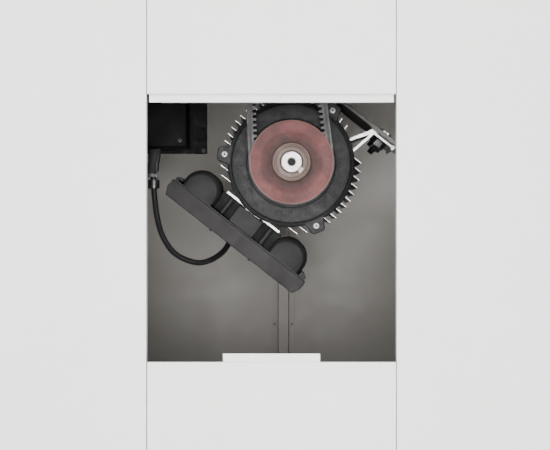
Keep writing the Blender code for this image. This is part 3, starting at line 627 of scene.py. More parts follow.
def screw(centre, radius, height, look, name, along="Y", toward=-1):
    """A pan-head screw with its seat at the centre; heads along Y carry a cross of painted shade for the
    recess.
    """
    centre = Vector(centre)
    reach = toward * height
    profile = [(0, 0), (radius, 0), (radius, reach * 0.35)]
    for step in range(1, 5):
        angle = math.radians(90 * step / 5)
        profile.append((radius * (0.45 + 0.55 * math.cos(angle)), reach * (0.35 + 0.65 * math.sin(angle))))
    profile += [(radius * 0.42, reach), (radius * 0.30, reach * 0.70), (0, reach * 0.62)]
    piece(name, lathe(profile, centre, 28, along=along), look)
    if along != "Y":
        return
    top = centre.y + reach
    near, far = sorted((top + toward * 0.00005, top - reach * 0.4))
    long, thin = radius * 0.62, radius * 0.13
    # Painted shade: two thin dark blocks in the head top stand for the cross recess.
    cross = bmesh.new()
    for wide, tall in ((long, thin), (thin, long)):
        block((centre.x - wide, near, centre.z - tall), (centre.x + wide, far, centre.z + tall), cross)
    turn = Matrix.Translation(centre) @ Matrix.Rotation(0.5, 4, "Y") @ Matrix.Translation(-centre)
    piece(name + "_cross", cross, SHADE_BLACK, matrix=turn)


# ---- measures of the drive, read from the frame ----
BELT_LOW, BELT_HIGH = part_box("drive_belt")
BELT_BACK = 0.0085                              # back of the belt, above the pulley barrels
BARREL_R = MOTOR.z - BELT_LOW.z - BELT_BACK
SMALL_BARREL_R = BELT_HIGH.z - SPINDLE.z - BELT_BACK
MOTOR_TEETH = 42
SPINDLE_TEETH = 28
BELT_TEETH = 140
ACROSS = math.hypot(SPINDLE.x - MOTOR.x, SPINDLE.z - MOTOR.z)
LEAN = math.atan2(SPINDLE.z - MOTOR.z, SPINDLE.x - MOTOR.x)
SPREAD = math.acos((BARREL_R - SMALL_BARREL_R) / ACROSS)
SPAN = ACROSS * math.sin(SPREAD)
BIG_ARC = BARREL_R * (2 * math.pi - 2 * SPREAD)
SMALL_ARC = SMALL_BARREL_R * 2 * SPREAD
LOOP = BIG_ARC + SMALL_ARC + 2 * SPAN
MOTOR_AXIS = (MOTOR.x, 0, MOTOR.z)
SPINDLE_AXIS = (SPINDLE.x, 0, SPINDLE.z)


def local(along, above):
    """World (x, z) of a place in the tilted frame of the motor."""
    turned = TURN @ Vector((along, 0, above))
    return turned.x, turned.z


def polar(centre, radius, angle):
    return centre.x + radius * math.cos(angle), centre.z + radius * math.sin(angle)


def between(start, end, share):
    return tuple(a + (b - a) * share for a, b in zip(start, end))


def loop_point(travel, offset):
    """A place along the belt's run, offset outwards from the pulley barrels."""
    travel %= LOOP
    big, small = BARREL_R + offset, SMALL_BARREL_R + offset
    if travel < BIG_ARC:
        return polar(MOTOR, big, LEAN + SPREAD + travel / BARREL_R)
    travel -= BIG_ARC
    if travel < SPAN:
        leaving = LEAN - SPREAD
        return between(polar(MOTOR, big, leaving), polar(SPINDLE, small, leaving), travel / SPAN)
    travel -= SPAN
    if travel < SMALL_ARC:
        return polar(SPINDLE, small, LEAN - SPREAD + travel / SMALL_BARREL_R)
    travel -= SMALL_ARC
    coming = LEAN + SPREAD
    return between(polar(SPINDLE, small, coming), polar(MOTOR, big, coming), travel / SPAN)


def band(places, start, end):
    """A closed band: for each place (travel, inner offset, outer offset)."""
    shape = bmesh.new()
    rings = []
    for travel, inner, outer in places:
        ring = []
        for offset, far in ((inner, start), (outer, start), (outer, end), (inner, end)):
            x, z = loop_point(travel, offset)
            ring.append(shape.verts.new((x, far, z)))
        rings.append(ring)
    return skin(shape, rings, closed=True)


def toothed_belt():
    """Teeth and body, a band of cords and the back, as layers of one moulded belt."""
    front, back = BELT_LOW.y, BELT_HIGH.y
    tooth_top, cords_low, cords_high = -0.0022, 0.0038, 0.0066
    pitch = LOOP / BELT_TEETH
    teeth, plain = [], []
    for tooth in range(BELT_TEETH):
        middle = tooth * pitch
        for share, inner in ((-0.27, 0.0018), (-0.18, -0.0018), (-0.11, tooth_top), (0.11, tooth_top),
                             (0.18, -0.0018), (0.27, 0.0018)):
            teeth.append((middle + share * pitch, inner, cords_low))
        plain += [middle - 0.25 * pitch, middle + 0.25 * pitch]
    cords = [(travel, cords_low, cords_high) for travel in plain]
    cover = [(travel, cords_high, BELT_BACK) for travel in plain]
    piece("belt_teeth", band(teeth, front, back), BELT, angle=25)
    piece("belt_cords", band(cords, front + 0.0002, back - 0.0002), CORDS, angle=25)
    piece("belt_back", band(cover, front, back), BELT, replaces="drive_belt", angle=25)


def toothed_barrel(centre, radius, teeth, phase, start, end):
    """The grooved barrel of a pulley; a groove's middle stands at the phase angle."""
    step = 2 * math.pi / teeth
    outline = []
    for tooth in range(teeth):
        for share, above in ((-0.22, -0.0025), (0.22, -0.0025), (0.31, 0.0012), (0.36, 0.0015),
                             (0.64, 0.0015), (0.69, 0.0012)):
            outline.append(polar(centre, radius + above, phase + (tooth + share) * step))
    return prism(outline, start, end)


def motor_pulley():
    """A dished red disc in front, machined hub, grooved barrel and rear flange."""
    low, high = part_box("motor_pulley")
    flange = high.z - MOTOR.z
    face = low.y
    rim = face + 0.0030
    disc = mm(face, (21.8, 6.2), (23.2, 5.6), (30.0, 5.5), (33.0, 4.2)) + mm(rim, (35.0, 0.3), (36.2, 0))
    disc += mm(rim, (-2.2, 0), (-1.6, -0.3), (-0.6, 0), (0, 0.6), (0, 1.3), reach=flange)
    disc += mm(rim, (-2.6, 1.6), (-2.6, 4.6), reach=BARREL_R) + mm(rim, (21.8, 4.6))
    piece("pulley_disc", lathe(disc, MOTOR_AXIS, 144), RED_OXIDE, replaces="motor_pulley")
    bore = SHAFT_R + 0.0004
    hub = mm(face, (0, 0.6), (0.7, 0), reach=bore)
    hub += mm(face, (19.6, 0), (20.0, 0.2), (20.6, 0.2), (21.4, 0.9), (21.8, 6.2))
    hub += [(0.0218, high.y), (bore, high.y)]
    piece("pulley_hub", lathe(hub, MOTOR_AXIS, 128), HUB, "rotor")
    barrel = toothed_barrel(MOTOR, BARREL_R, MOTOR_TEETH, LEAN + SPREAD, rim + 0.0045, high.y - 0.0013)
    piece("pulley_barrel", barrel, DARK_STEEL, "rotor", angle=20)
    rear = mm(high.y, (0, -1.3), (0, -0.4), (-0.5, 0), reach=flange) + mm(high.y, (21.9, 0), (21.9, -1.3))
    piece("pulley_rear_flange", lathe(rear, MOTOR_AXIS, 144), RED_OXIDE, "rotor")


def spindle_pulley():
    low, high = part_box("spindle_pulley")
    flange = SMALL_BARREL_R + 0.0072
    bore, boss = 0.0103, 0.0180
    start = BELT_LOW.y - 0.0006
    end = BELT_HIGH.y + 0.0006
    rear = end + 0.0014
    travel = (BIG_ARC + SPAN) * BELT_TEETH / LOOP
    phase = LEAN - SPREAD + (math.ceil(travel) - travel) * LOOP / BELT_TEETH / SMALL_BARREL_R
    barrel = toothed_barrel(SPINDLE, SMALL_BARREL_R, SPINDLE_TEETH, phase, start, end)
    piece("small_pulley_barrel", barrel, ALUMINIUM, replaces="spindle_pulley", angle=20)
    for name, near, far in (("front", low.y, start), ("rear", end, rear)):
        ring = [(bore, near), (flange - 0.0004, near), (flange, near + 0.0003), (flange, far), (bore, far)]
        piece("small_pulley_%s_flange" % name, lathe(ring, SPINDLE_AXIS), ZINC, "spindle")
    profile = [(bore, rear), (boss, rear)] + mm(high.y, (0, -0.6), (-0.6, 0), reach=boss) + [(bore, high.y)]
    piece("small_pulley_boss", lathe(profile, SPINDLE_AXIS, 64), ALUMINIUM, "spindle")


def shafts():
    """The keyed motor shaft with its threaded centre hole; the grinding spindle and its wheel."""
    low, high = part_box("rotor_shaft")
    front = low.y
    profile = mm(front, (0, 26), (3.4, 24))
    for turn in range(14):
        profile += mm(front - turn * 0.0014, (3.6, 22), (4.1, 21.3))
    profile += mm(front, (4.2, 1.2), (5.2, 0)) + mm(front, (-1, 0), (0, 0.9), reach=SHAFT_R)
    profile += [(SHAFT_R, high.y), (0, high.y)]
    piece("motor_shaft", lathe(profile, MOTOR_AXIS), SHAFT, replaces="rotor_shaft", angle=25)
    shade = mm(front, (0, 1.6), (3.2, 1.6), (3.7, 1.2), (4.1, 1.2), (4.1, 3), (0, 3))
    piece("shaft_hole_shade", lathe(shade, MOTOR_AXIS, 48), SHADE_BLACK, "rotor")

    low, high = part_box("spindle_shaft")
    flange = (high.z - low.z) / 2
    wheel_low, wheel_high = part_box("grinding_wheel")
    thread = wheel_high.y + 0.012
    profile = mm(low.y, (0, 4), (2.5, 0.5), (3.2, 0), (9.2, 0), (10, 0.8))
    profile += mm(wheel_low.y, (10, -15), (14, -13.5), (22.5, -9))
    profile += mm(wheel_low.y, (0, -7), (0, -1.2), (-0.8, -0.3), reach=flange) + mm(wheel_low.y, (8, -0.3))
    profile.append((0.0080, thread))
    while thread < high.y - 0.0016:
        profile += mm(thread, (7.3, 0.6), (8, 1.2))
        thread += 0.0012
    profile += [(0.0070, high.y), (0, high.y)]
    spindle = lathe(profile, SPINDLE_AXIS, 80)
    piece("grinding_spindle", spindle, SPINDLE_STEEL, replaces="spindle_shaft", angle=25)
    outer = (wheel_high.x - wheel_low.x) / 2
    wheel = mm(wheel_low.y, (8.3, 0)) + mm(wheel_low.y, (-0.7, 0), (0, 0.7), reach=outer)
    wheel += mm(wheel_high.y, (0, -0.7), (-0.7, 0), reach=outer) + mm(wheel_high.y, (8.3, 0))
    piece("bonded_wheel", lathe(wheel, SPINDLE_AXIS, 160), ABRASIVE, replaces="grinding_wheel", angle=50)
    low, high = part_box("wheel_nut")
    washer = lathe(mm(low.y, (8.4, 0), (19.8, 0), (19.8, 2.2), (19.2, 2.8), (8.4, 2.8)), SPINDLE_AXIS, 64)
    piece("wheel_washer", washer, ZINC, replaces="wheel_nut")
    nut = prism(arc((SPINDLE.x, SPINDLE.z), 0.0148, 0, 300, 5), low.y + 0.0028, high.y)
    piece("wheel_hexagon", nut, DARK_STEEL, replaces="wheel_nut", bevel=0.0006)


def drive_end_shield():
    """The front casting with its grooves, three ears and their screws."""
    low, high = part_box("drive_end_shield")
    front, back = low.y, high.y
    disc = mm(front, (26.6, 0.8), (27.4, 0), (35, 0), (35.8, 0.8), (50.5, 0.8), (51.5, 0), (65.5, 0),
              (67.6, 0.6), (68.8, 2.2), (69.1, 5), (69.2, 8), (71.5, 8.8), (72.8, 10), (73.3, 12.5))
    disc += mm(back, (73.3, 0), (60, 0)) + mm(front, (60, 16), (26.6, 16))
    piece("shield_casting", lathe(disc, MOTOR_AXIS, 160), CASTING, replaces="drive_end_shield", angle=28)
    ear = with_mirror(mm(0, (69, -12.8), (77.5, -9.4), (83.2, -8.4), (85.8, -6)))
    for number, angle in enumerate((90, 210, 330)):
        turned = math.radians(angle)
        outline = [spun(out, across, turned) for out, across in ear]
        boss = prism(outline, front + 0.0085, back - 0.0003)
        piece("shield_boss_%d" % number, boss, CASTING, bevel=0.0014, matrix=TURN)
        x, z = local(*spun(0.0774, 0, turned))
        screw((x, front + 0.0085, z), 0.0034, 0.0026, BRIGHT, "shield_screw_%d" % number)
        collar = lathe(mm(0, (3.5, 0), (4.8, 0), (4.8, 1.2), (3.5, 1.2)), (x, front + 0.0078, z), 32)
        piece("shield_collar_%d" % number, collar, CASTING)


def fan_cowl():
    """The rear cowl with a ring of radial bars over the fan."""
    low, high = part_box("fan_cover")
    outer = (high.x - low.x) / 2
    profile = mm(low.y, (-1.5, 0), (0, 0), reach=outer)
    profile += mm(high.y, (0, -10), (-1, -6), (-4, -2), (-8, -0.5), reach=outer)
    profile += mm(high.y, (14.5, -0.5), (14.5, -1.5)) + mm(high.y, (-8, -1.5), (-1.5, -8), reach=outer)
    cover = lathe(profile, MOTOR_AXIS, 112)
    near, far, half = 0.0200, outer - 0.0100, 0.0008
    for number in range(36):
        outline = []
        for out, across in ((near, -half), (near, half), (far, half), (far, -half)):
            x, z = spun(out, across, math.radians(number * 10))
            outline.append((MOTOR.x + x, MOTOR.z + z))
        prism(outline, high.y - 0.0008, high.y, cover)
    piece("fan_cowl", cover, CASTING, replaces="fan_cover", angle=30)


def finned_housing():
    """The CAD housing with its fins drawn thinner, as they are extruded."""
    side_pitch = 0.0085
    top_places = (0.0048, 0.0144, 0.0240)
    thinner = 0.46
    root = 0.0690
    shape = own_shape("stator_housing")
    back = TURN.inverted()
    for vert in shape.verts:
        place = back @ vert.co
        side_fin = abs(place.z) < 0.0605 and abs(place.x) > 0.0300
        if math.hypot(place.x, place.z) > root and side_fin:
            middle = round(place.z / side_pitch) * side_pitch
            place.z = middle + (place.z - middle) * thinner
            vert.co = TURN @ place
        elif place.z > 0.0655 and abs(place.x) < 0.0270:
            nearest = min(top_places, key=lambda across: abs(abs(place.x) - across))
            middle = math.copysign(nearest, place.x)
            place.x = middle + (place.x - middle) * thinner
            vert.co = TURN @ place
    piece("finned_housing", shape, CUT_ALUMINIUM, replaces="stator_housing", angle=30)


def terminal_box():
    """Base with two capacitor humps, recessed webs, centre block; lid with seam and clips."""
    low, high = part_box("terminal_box_base")
    front, back = low.y, high.y - 0.018
    seam = -0.0962
    centre_half, hump_centre, hump_height = 0.0170, 0.0630, -0.0870
    humps = bmesh.new()
    for side in (-1, 1):
        along = side * hump_centre
        sections = []
        for radius, drop, far in ((0.0186, 0.0030, front), (0.0192, 0.0026, front + 0.0004),
                                  (0.0204, 0.0016, front + 0.0018), (0.0218, 0.0006, front + 0.0044),
                                  (0.0226, 0.0001, front + 0.0080), (0.0228, 0.0000, back)):
            outline = arc((along, hump_height - drop), radius, 0, 180, 40)
            sections.append((far, [(along + radius, seam)] + outline + [(along - radius, seam)]))
        loft(sections, humps)
    piece("terminal_box_humps", humps, PLASTIC, replaces="terminal_box_base", matrix=TURN, angle=60)
    # The centre block takes the darker base plastic, painted shade below the lid.
    centre = block((-centre_half, front + 0.0010, seam), (centre_half, back, -0.0738))
    piece("terminal_box_centre", centre, PLASTIC, bevel=0.0012, matrix=TURN)
    # Painted shade: the set-back webs beside the centre block are near black to stand for the shade in the
    # two recesses.
    webs = bmesh.new()
    for near, far in ((-0.0420, -0.0165), (0.0165, 0.0420)):
        block((near, front + 0.0180, seam), (far, back - 0.0010, -0.0724), webs)
    piece("terminal_box_webs", webs, SHADE_BLACK, bevel=0.0004, matrix=TURN)
    ribs = bmesh.new()
    for along in (-0.0285, 0.0285):
        profile = mm(0, (0, -96.2), (3, -96.2), (3, -74.6), (2.4, -73.8), (0, -73.6))
        lathe(profile, (along, front + 0.0130, 0), 24, ribs, "Z")
    piece("terminal_box_ribs", ribs, LID_PLASTIC, matrix=TURN)
    ledge = mm(0, (-94.5, -96.8), (94.5, -96.8), (94.5, -93.5), (90.5, -90.5), (86, -90.5), (86, -96.2),
               (-86, -96.2), (-86, -90.5), (-90.5, -90.5), (-94.5, -93.5))
    piece("terminal_box_ledge", prism(ledge, front + 0.0012, back), PLASTIC, bevel=0.0005, matrix=TURN)
    low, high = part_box("terminal_box_lid")
    lid = mm(0, (-96.5, -97.5), (-96.5, -108.2), (-92.5, -117.3), (92.5, -117.3), (97.2, -108.2),
             (97.2, -97.5))
    piece("terminal_lid", prism(lid, low.y, high.y), LID_PLASTIC, replaces="terminal_box_lid",
          bevel=0.0010, matrix=TURN)
    clips = bmesh.new()
    for along in (-0.0262, 0.0298):
        clip = mm(0, (-2.2, -117.1), (-1.4, -118.6), (1.4, -118.6), (2.2, -117.1), reach=along)
        prism(clip, low.y + 0.0002, low.y + 0.0060, clips)
    piece("terminal_lid_clips", clips, PLASTIC, bevel=0.0003, matrix=TURN)
    seal = block((-0.0940, low.y + 0.0011, -0.0976), (0.0940, high.y - 0.0011, -0.0961))
    piece("terminal_box_seal", seal, RUBBER, matrix=TURN)
    x, z = local(-0.0150, -0.0850)
    gland = mm(back, (0, -2), (9.8, -2), (9.8, 3), (8.8, 4), (8.8, 10), (7.8, 13), (6.2, 16), (0, 16))
    piece("terminal_box_gland", lathe(gland, (x, 0, z), 12), PLASTIC, bevel=0.0004, angle=20)


def control_box_details():
    """Body, lid and seal of the electrical box with its screws; the folds of its bracket."""
    low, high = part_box("control_box")
    joint = low.y + 0.0125
    body = block((low.x, joint, low.z), high)
    piece("box_body", body, BOX_BLACK, replaces="control_box", bevel=0.0028, segments=3)
    for name, inset, near, far, look, bevel in (("lid", 0.0004, low.y, joint - 0.0008, BOX_BLACK, 0.0034),
                                                ("seal", 0.0020, joint - 0.0015, joint + 0.0005, RUBBER, 0)):
        shape = block((low.x + inset, near, low.z + inset), (high.x - inset, far, high.z - inset))
        piece("box_" + name, shape, look, bevel=bevel, segments=4)
    inset = 0.009
    corners = [(x, z) for z in (low.z + inset, high.z - inset) for x in (low.x + inset, high.x - inset)]
    for number, (x, z) in enumerate(corners):
        screw((x, low.y + 0.0004, z), 0.0032, 0.0014, BLACK_BOLT, "box_screw_%d" % number)
    low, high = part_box("control_box_bracket")
    screw((high.x - 0.0038, low.y, low.z + 0.0040), 0.0028, 0.0020, DARK_STEEL, "bracket_screw")
    for name, wide, near, far in (("return", 0.0150, high.y + 0.0060, high.y + 0.0072),
                                  ("web", 0.0012, high.y - 0.0002, high.y + 0.0062),
                                  ("lip", 0.0013, low.y - 0.0062, low.y + 0.0004)):
        fold = block((high.x - wide, near, low.z), (high.x, far, high.z - 0.0004))
        piece("bracket_" + name, fold, BRACKET, bevel=0.0003)


def hose(points, radii, look, name, sides=20):
    """A round hose through points (x, y, z); radii is one value for each point."""
    shape = bmesh.new()
    rings = []
    for index, (point, radius) in enumerate(zip(points, radii)):
        before = Vector(points[max(index - 1, 0)])
        after = Vector(points[min(index + 1, len(points) - 1)])
        along = (after - before).normalized()
        across = along.cross(Vector((0, 1, 0))).normalized()
        up = across.cross(along)
        ring = []
        for step in range(sides):
            angle = 2 * math.pi * step / sides
            out = across * math.cos(angle) + up * math.sin(angle)
            ring.append(shape.verts.new(Vector(point) + out * radius))
        rings.append(ring)
    piece(name, skin(shape, rings), look, angle=50)


def cables():
    """The motor cable's sheath; a second lead, braided sleeve, ties and clip by the box."""
    shape = own_shape("motor_cable", join_flat=False)
    shape.normal_update()
    for vert in shape.verts:
        vert.co += vert.normal * 0.00025
    made = piece("motor_cable_sheath", shape, SHEATH, replaces="motor_cable", angle=60)
    smooth = made.modifiers.new("round", "SUBSURF")
    smooth.levels = 1
    smooth.render_levels = 1

    clip_low, clip_high, clip_middle = middle_of("cable_clip")
    x, y = clip_low.x + 0.0045, clip_middle.y - 0.0035
    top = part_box("control_box")[0].z
    bend = [(x + 0.0078, y - 0.0010, top + 0.0010), (x + 0.0076, y - 0.0010, top - 0.0060),
            (x + 0.0068, y - 0.0010, top - 0.0120), (x + 0.0056, y - 0.0008, top - 0.0200),
            (x + 0.0050, y - 0.0006, top - 0.0260)]
    hose(bend, [0.0031] * len(bend), SHEATH, "control_lead")
    points, radii = [], []
    for step in range(25):
        share = step / 24
        points.append((x + 0.0040 * (1 - share) ** 1.5, y, top - 0.0010 - 0.0290 * share))
        radii.append(0.0072 - 0.0022 * share + 0.00022 * math.sin(step * 2.4))
    hose(points, radii, SLEEVE, "cable_sleeve", 28)
    for number, (drop, radius, aside, look) in enumerate(((0.0015, 0.0080, 0.0038, RUBBER),
                                                          (0.0290, 0.0060, 0.0004, TIE))):
        profile = mm(top - drop, (-1.2, 0), (0, -0.3), (0, -3.6), (-1.2, -4), reach=radius)
        ring = lathe(profile, (x + aside, y, 0), 40, along="Z")
        piece("cable_tie_%d" % number, ring, look, bevel=0.0003)
    head = block((x + 0.0040, y - 0.0040, top - 0.0335), (x + 0.0074, y - 0.0004, top - 0.0290))
    piece("cable_tie_head", head, TIE, bevel=0.0005)
    soften("cable_clip", DARK_STEEL, 0.0003, angle=40)
    screw((x + 0.0002, clip_high.y - 0.0020, top - 0.0060), 0.0026, 0.0016, BRIGHT, "clip_screw")


def foot_fasteners():
    """Bolts through the motor feet and the inclined plate, with nuts below and heads above."""
    low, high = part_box("motor_foot_right")
    plate = 0.0903                              # where foot and plate meet, above the motor axis
    bolt_along = 0.0650
    thread = mm(plate, (0, -19), (3, -19))
    for turn in range(7):
        thread += mm(plate + turn * 0.00115, (3.9, -18.4), (3.4, -17.8))
    thread += mm(plate, (3.8, -10), (0, -10))
    parts = (
        ("nut", mm(plate, (0, -12.8), (8.2, -12.8), (8.8, -11.8), (8.8, -5.2), (0, -5.2)), 6, BLACK_BOLT,
         0.0004, 20),
        ("washer", mm(plate, (0, -5.4), (9.8, -5.4), (9.8, -3.6), (0, -3.6)), 40, BLACK_BOLT, 0.0003, 35),
        ("bolt", thread, 28, BLACK_BOLT, 0.0, 25),
        ("head", mm(plate, (0, 4), (7.8, 4), (7.8, 8.4), (7, 9.2), (0, 9.2)), 6, ZINC, 0.0004, 20),
    )
    for side, along in (("left", -bolt_along), ("right", bolt_along)):
        for number, far in enumerate((low.y + 0.0160, high.y - 0.0180)):
            for part, profile, sides, look, bevel, angle in parts:
                name = "foot_%s_%s_%d" % (part, side, number)
                shape = lathe(profile, (along, far, 0), sides, along="Z")
                piece(name, shape, look, bevel=bevel, matrix=TURN, angle=angle)


def rib_screws():
    low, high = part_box("back_rib")
    for row in range(3):
        for side, x in enumerate((low.x + 0.0036, high.x - 0.0036)):
            place = (x, low.y + 0.0048, low.z + 0.040 + row * 0.225)
            screw(place, 0.0028, 0.0010, WALL, "rib_screw_%d_%d" % (row, side))


def controls():
    """Buttons with crowned caps, their collars on the panel, and the mushroom head."""
    for name, look in (("start_button", GREEN), ("stop_button", RED)):
        low, high, middle = middle_of(name)
        centre, radius = (middle.x, 0, middle.z), (high.x - low.x) / 2
        crown = [(radius * share, low.y + above) for share, above in (
            (0, 0.0007), (0.45, 0.0006), (0.78, 0.0001), (0.86, 0), (0.95, 0.0004), (1, 0.0016))]
        crown += [(radius, FRONT - 0.0055), (0.0104, FRONT - 0.0055), (0.0104, high.y), (0, high.y)]
        piece(name + "_cap", lathe(crown, centre, 80), look, replaces=name, angle=40)
        collar = mm(FRONT, (0.8, -0.4), (0.8, -7.8), (1.6, -8.4), (2.6, -7.6), (4.2, -2.2), (4.6, 0),
                    reach=radius)
        piece(name + "_collar", lathe(collar, centre, 80), ROD_STEEL, angle=30)
    low, high, middle = middle_of("emergency_stop")
    centre, radius = (middle.x, 0, middle.z), (high.x - low.x) / 2
    crown = [(0, low.y)]
    for step in range(1, 14):
        angle = math.radians(6 * step)
        crown.append((radius * math.sin(angle) * 0.98, low.y + 0.0040 * (1 - math.cos(angle))))
    crown += mm(low.y, (0, 5.2), (0, 8), (-1.2, 10), reach=radius)
    crown += [(radius - 0.0030, FRONT - 0.0058), (0.0084, FRONT - 0.0055), (0.0084, high.y), (0, high.y)]
    piece("emergency_mushroom", lathe(crown, centre), RED, replaces="emergency_stop", angle=40)
    plate = mm(FRONT, (1.2, 0), (1.2, -1.6), (10.8, -1.6), (11.2, -1.2), (11.2, 0), reach=radius)
    piece("emergency_ring", lathe(plate, centre), YELLOW, angle=30)


def rod_and_carriage():
    """The ground rod, the grooved sleeve that slides on it, and the clamp screws of its supports."""
    low, high, middle = middle_of("guide_rod")
    centre, radius = (0, middle.y, middle.z), (high.z - low.z) / 2
    rod = mm(low.x, (0, 6), (3.5, 4), (3.5, 0)) + mm(low.x, (-1.2, 0), (0, 1.2), reach=radius)
    rod += mm(high.x, (0, -1.2), (-1.2, 0), reach=radius) + mm(high.x, (3.5, 0), (3.5, -4), (0, -6))
    piece("hardened_rod", lathe(rod, centre, 80, along="X"), ROD_STEEL, replaces="guide_rod", angle=30)
    low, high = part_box("carriage")
    outer = (high.z - low.z) / 2
    bore = radius + 0.00012
    half = [(bore, low.x)] + mm(low.x, (-6, 0), (-6, 3), (-0.8, 3), (0, 3.8), reach=outer)
    half += mm(0, (0, -6), (-1.2, -5.2), reach=outer)
    sleeve = lathe(with_mirror(half), centre, along="X")
    piece("carriage_sleeve", sleeve, CARRIAGE_STEEL, replaces="carriage", angle=25)
    for name in ("left", "right"):
        low, high, middle = middle_of("rod_support_" + name)
        place = (middle.x, low.y + 0.0004, high.z - 0.0085)
        screw(place, 0.0040, 0.0030, DARK_STEEL, "rod_clamp_screw_" + name)


def clamp_knob():
    """A six-lobed grip with a steel cap, neck and clamp thread."""
    low, high, middle = middle_of("clamp_knob")
    outer = (high.x - low.x) / 2
    front = low.y
    neck_start = front + 0.0236
    neck_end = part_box("skate_holder")[0].y + 0.0290
    steps = 120
    shape = bmesh.new()
    rings = []
    for far, share in ((0, 0.82), (0.0008, 0.92), (0.0024, 0.99), (0.0036, 1.0), (0.0200, 1.0),
                       (0.0226, 0.97), (0.0236, 0.88)):
        ring = []
        for step in range(steps):
            angle = 2 * math.pi * step / steps
            reach = outer * share * (1 - 0.105 * max(0.0, math.cos(6 * angle)) ** 3)
            x, z = polar(middle, reach, angle)
            ring.append(shape.verts.new((x, front + far, z)))
        rings.append(ring)
    piece("knob_grip", skin(shape, rings), KNOB_PLASTIC, replaces="clamp_knob", angle=50)
    centre = (middle.x, 0, middle.z)
    cap = mm(front, (0, 0), (5, 0), (6.2, 0.4), (6.2, 1.2), (0, 1.2))
    piece("knob_cap", lathe(cap, centre, 48), ROD_STEEL, "knob", angle=30)
    neck = mm(neck_start, (0, 0), (11.6, 0), (12, 1)) + mm(neck_end, (12, -0.8), (11.2, 0), (0, 0))
    piece("knob_neck", lathe(neck, centre, 64), ROD_STEEL, "knob", angle=30)
    profile = [(0, neck_end)]
    far = neck_end
    while far < high.y - 0.0020:
        profile += mm(far, (4.4, 0), (5, 0.8))
        far += 0.0016
    profile += [(0.0040, high.y), (0, high.y)]
    piece("clamp_thread", lathe(profile, centre, 40), ROD_STEEL, replaces="clamp_knob", angle=20)


def table_screws():
    low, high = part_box("table_top")
    left, right, front, back = low.x + 0.025, high.x - 0.025, low.y + 0.047, high.y - 0.030
    places = [(left, front), (right, front), (left, back), (right, back),
              (0, low.y + 0.032), (-0.170, back), (0.170, back)]
    for number, (x, y) in enumerate(places):
        screw((x, y, high.z - 0.0006), 0.0052, 0.0014, ZINC, "table_screw_%d" % number, "Z", 1)


def cabinet_sides():
    """Pressed louvres over slots of painted shade, and the screws along both edges of each side."""
    half, first, pitch = 0.095, 0.300, 0.022
    for side, name in ((-1, "left"), (1, "right")):
        low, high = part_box(name + "_side_panel")
        face = low.x if side < 0 else high.x
        louvres, slots = bmesh.new(), bmesh.new()
        for row in range(9):
            base = first + row * pitch
            outline = [(face + side * (out - 0.0004), base + rise)
                       for out, rise in mm(0, (0, 0), (0, 13), (4.2, 3), (3.8, 0))]
            prism(outline, -half, half, louvres)
            # Painted shade: a thin black block under each louvre stands for the dark slot opening.
            middle = face + side * 0.0002
            block((middle - 0.0004, -0.091, base - 0.0030), (middle + 0.0004, 0.091, base + 0.0004), slots)
        piece(name + "_louvres", louvres, WHITE, bevel=0.0012)
        piece(name + "_louvre_slots", slots, SHADE_BLACK)
        for row, z in enumerate((0.075, 0.440, 0.815)):
            for column, y in enumerate((low.y + 0.018, high.y - 0.018)):
                place = (face - side * 0.0003, y, z)
                screw(place, 0.0042, 0.0016, ZINC, "%s_screw_%d_%d" % (name, row, column), "X", side)


def cabinet_back():
    """Edge screws, vent slots and the small hoods above them."""
    low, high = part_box("back_panel")
    for row, z in enumerate((0.075, 0.330, 0.585, 0.820)):
        for column, x in enumerate((low.x + 0.016, 0.0, high.x - 0.016)):
            if column != 1 or row in (0, 3):
                place = (x, high.y - 0.0003, z)
                screw(place, 0.0042, 0.0016, ZINC, "back_screw_%d_%d" % (row, column), toward=1)
    # Painted shade: the vent slots are black blocks on the panel that stand for the openings, with hoods
    # above them.
    vents, hoods = bmesh.new(), bmesh.new()
    for row in range(8):
        base = 0.420 + row * 0.014
        block((-0.090, high.y - 0.0003, base), (0.090, high.y + 0.0002, base + 0.0045), vents)
        block((-0.094, high.y - 0.0002, base + 0.0050), (0.094, high.y + 0.0022, base + 0.0085), hoods)
    piece("back_vents", vents, SHADE_BLACK)
    piece("back_vent_hoods", hoods, WHITE, bevel=0.0008)


def feet_and_gland():
    for name in ("foot_front_left", "foot_front_right", "foot_rear_left", "foot_rear_right"):
        low, high, middle = middle_of(name)
        profile = mm(0, (0, 1), (12, 1), (14, 0), (19.2, 0), (19.9, 0.8), (19.9, 4))
        for ring in range(4):
            base, reach = 0.0060 + ring * 0.0060, 0.0188 - ring * 0.0006
            profile += mm(base, (0, 0), (-1.2, 1.6), (0, 3.2), reach=reach)
        profile += mm(high.z, (16, -6), (16, -0.8), (15.4, 0), (0, 0))
        shape = lathe(profile, (middle.x, middle.y, 0), 72, along="Z")
        piece("ribbed_" + name, shape, RUBBER, replaces=name)
    low, high, middle = middle_of("mains_gland")
    centre, outer, bore = (middle.x, 0, middle.z), (high.x - low.x) / 2, 4.6
    body = mm(low.y, (0, 0), (0, 5), (-0.8, 5.8), reach=outer) + mm(low.y, (bore, 5.8), (bore, 0))
    piece("gland_hexagon", lathe(body, centre, 6), PLASTIC, replaces="mains_gland", bevel=0.0004, angle=20)
    cap = mm(low.y, (bore, 5.8), (11.2, 5.8), (11.2, 14), (9.8, 18)) + mm(high.y, (7, 0), (bore, 0))
    piece("gland_cap", lathe(cap, centre, 16), PLASTIC, replaces="mains_gland", bevel=0.0004, angle=15)


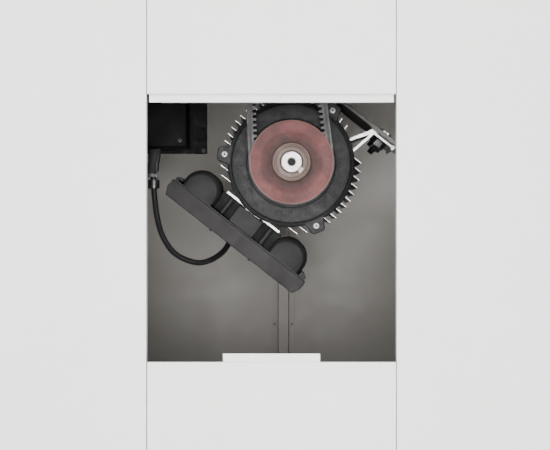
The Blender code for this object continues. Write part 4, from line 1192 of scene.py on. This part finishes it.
def spindle_housing_details():
    low, high, middle = middle_of("spindle_housing")
    for number, far in enumerate((low.y + 0.012, high.y - 0.012)):
        for side in (-1, 1):
            place = (SPINDLE.x + side * 0.0178, far + 0.0060, high.z - 0.0290)
            screw(place, 0.0030, 0.0024, DARK_STEEL, "housing_screw_%d_%d" % (number, side + 1))
    grease = mm(SPINDLE.x, (0, -33.5), (3.4, -33.5), (3.4, -40), (2.2, -41.5), (2.8, -44), (0, -45))
    nipple = lathe(grease, (0, middle.y, SPINDLE.z), 24, along="X")
    piece("grease_nipple", nipple, ZINC, angle=30)


# ---- every CAD node gets its own finish ----
def finish_frame():
    softened = (
        ("left_front_panel", WHITE, 0.0006), ("right_front_panel", WHITE, 0.0006),
        ("upper_centre_panel", WHITE, 0.0004), ("lower_centre_panel", WHITE, 0.0006),
        ("access_cover", WHITE, 0.0004), ("cover_catch", WHITE, 0.0004),
        ("left_side_panel", WHITE, 0.0006), ("right_side_panel", WHITE, 0.0006),
        ("base_plate", INSIDE, 0.0008), ("back_rib", WALL, 0.0003), ("motor_plate", UNDERSIDE, 0.0006),
        ("motor_hanger", INSIDE, 0.0006), ("wheel_guard", INSIDE, 0.0004),
        ("control_box_bracket", BRACKET, 0.0004), ("table_top", TABLE_STEEL, 0.0012),
        ("rod_support_left", PLATE_ALUMINIUM, 0.0), ("rod_support_right", PLATE_ALUMINIUM, 0.0),
        ("clamp_jaw", ROD_STEEL, 0.0005), ("skate_holder", PLATE_ALUMINIUM, 0.0008),
        ("motor_foot_left", CUT_ALUMINIUM, 0.0), ("motor_foot_right", CUT_ALUMINIUM, 0.0),
        ("spindle_housing", CASTING, 0.0010),
    )
    for node, look, bevel in softened:
        soften(node, look, bevel)
    painted = (
        ("back_panel", WALL), ("rotor_core", DARK_STEEL), ("stator_core", COPPER),
        ("motor_bearing_front", ROD_STEEL), ("motor_bearing_rear", ROD_STEEL), ("motor_fan", PLASTIC),
        ("run_capacitor", ALUMINIUM), ("start_capacitor", ALUMINIUM), ("spindle_bearing_front", ROD_STEEL),
        ("spindle_bearing_rear", ROD_STEEL), ("rear_end_shield", CASTING), ("shaft_key", KEY_STEEL),
    )
    for node, look in painted:
        materials = NODES[node].data.materials
        materials.clear()
        materials.append(look)


studio()
finish_frame()
finned_housing()
toothed_belt()
motor_pulley()
spindle_pulley()
shafts()
drive_end_shield()
fan_cowl()
terminal_box()
control_box_details()
cables()
foot_fasteners()
rib_screws()
controls()
rod_and_carriage()
clamp_knob()
table_screws()
cabinet_sides()
cabinet_back()
feet_and_gland()
spindle_housing_details()
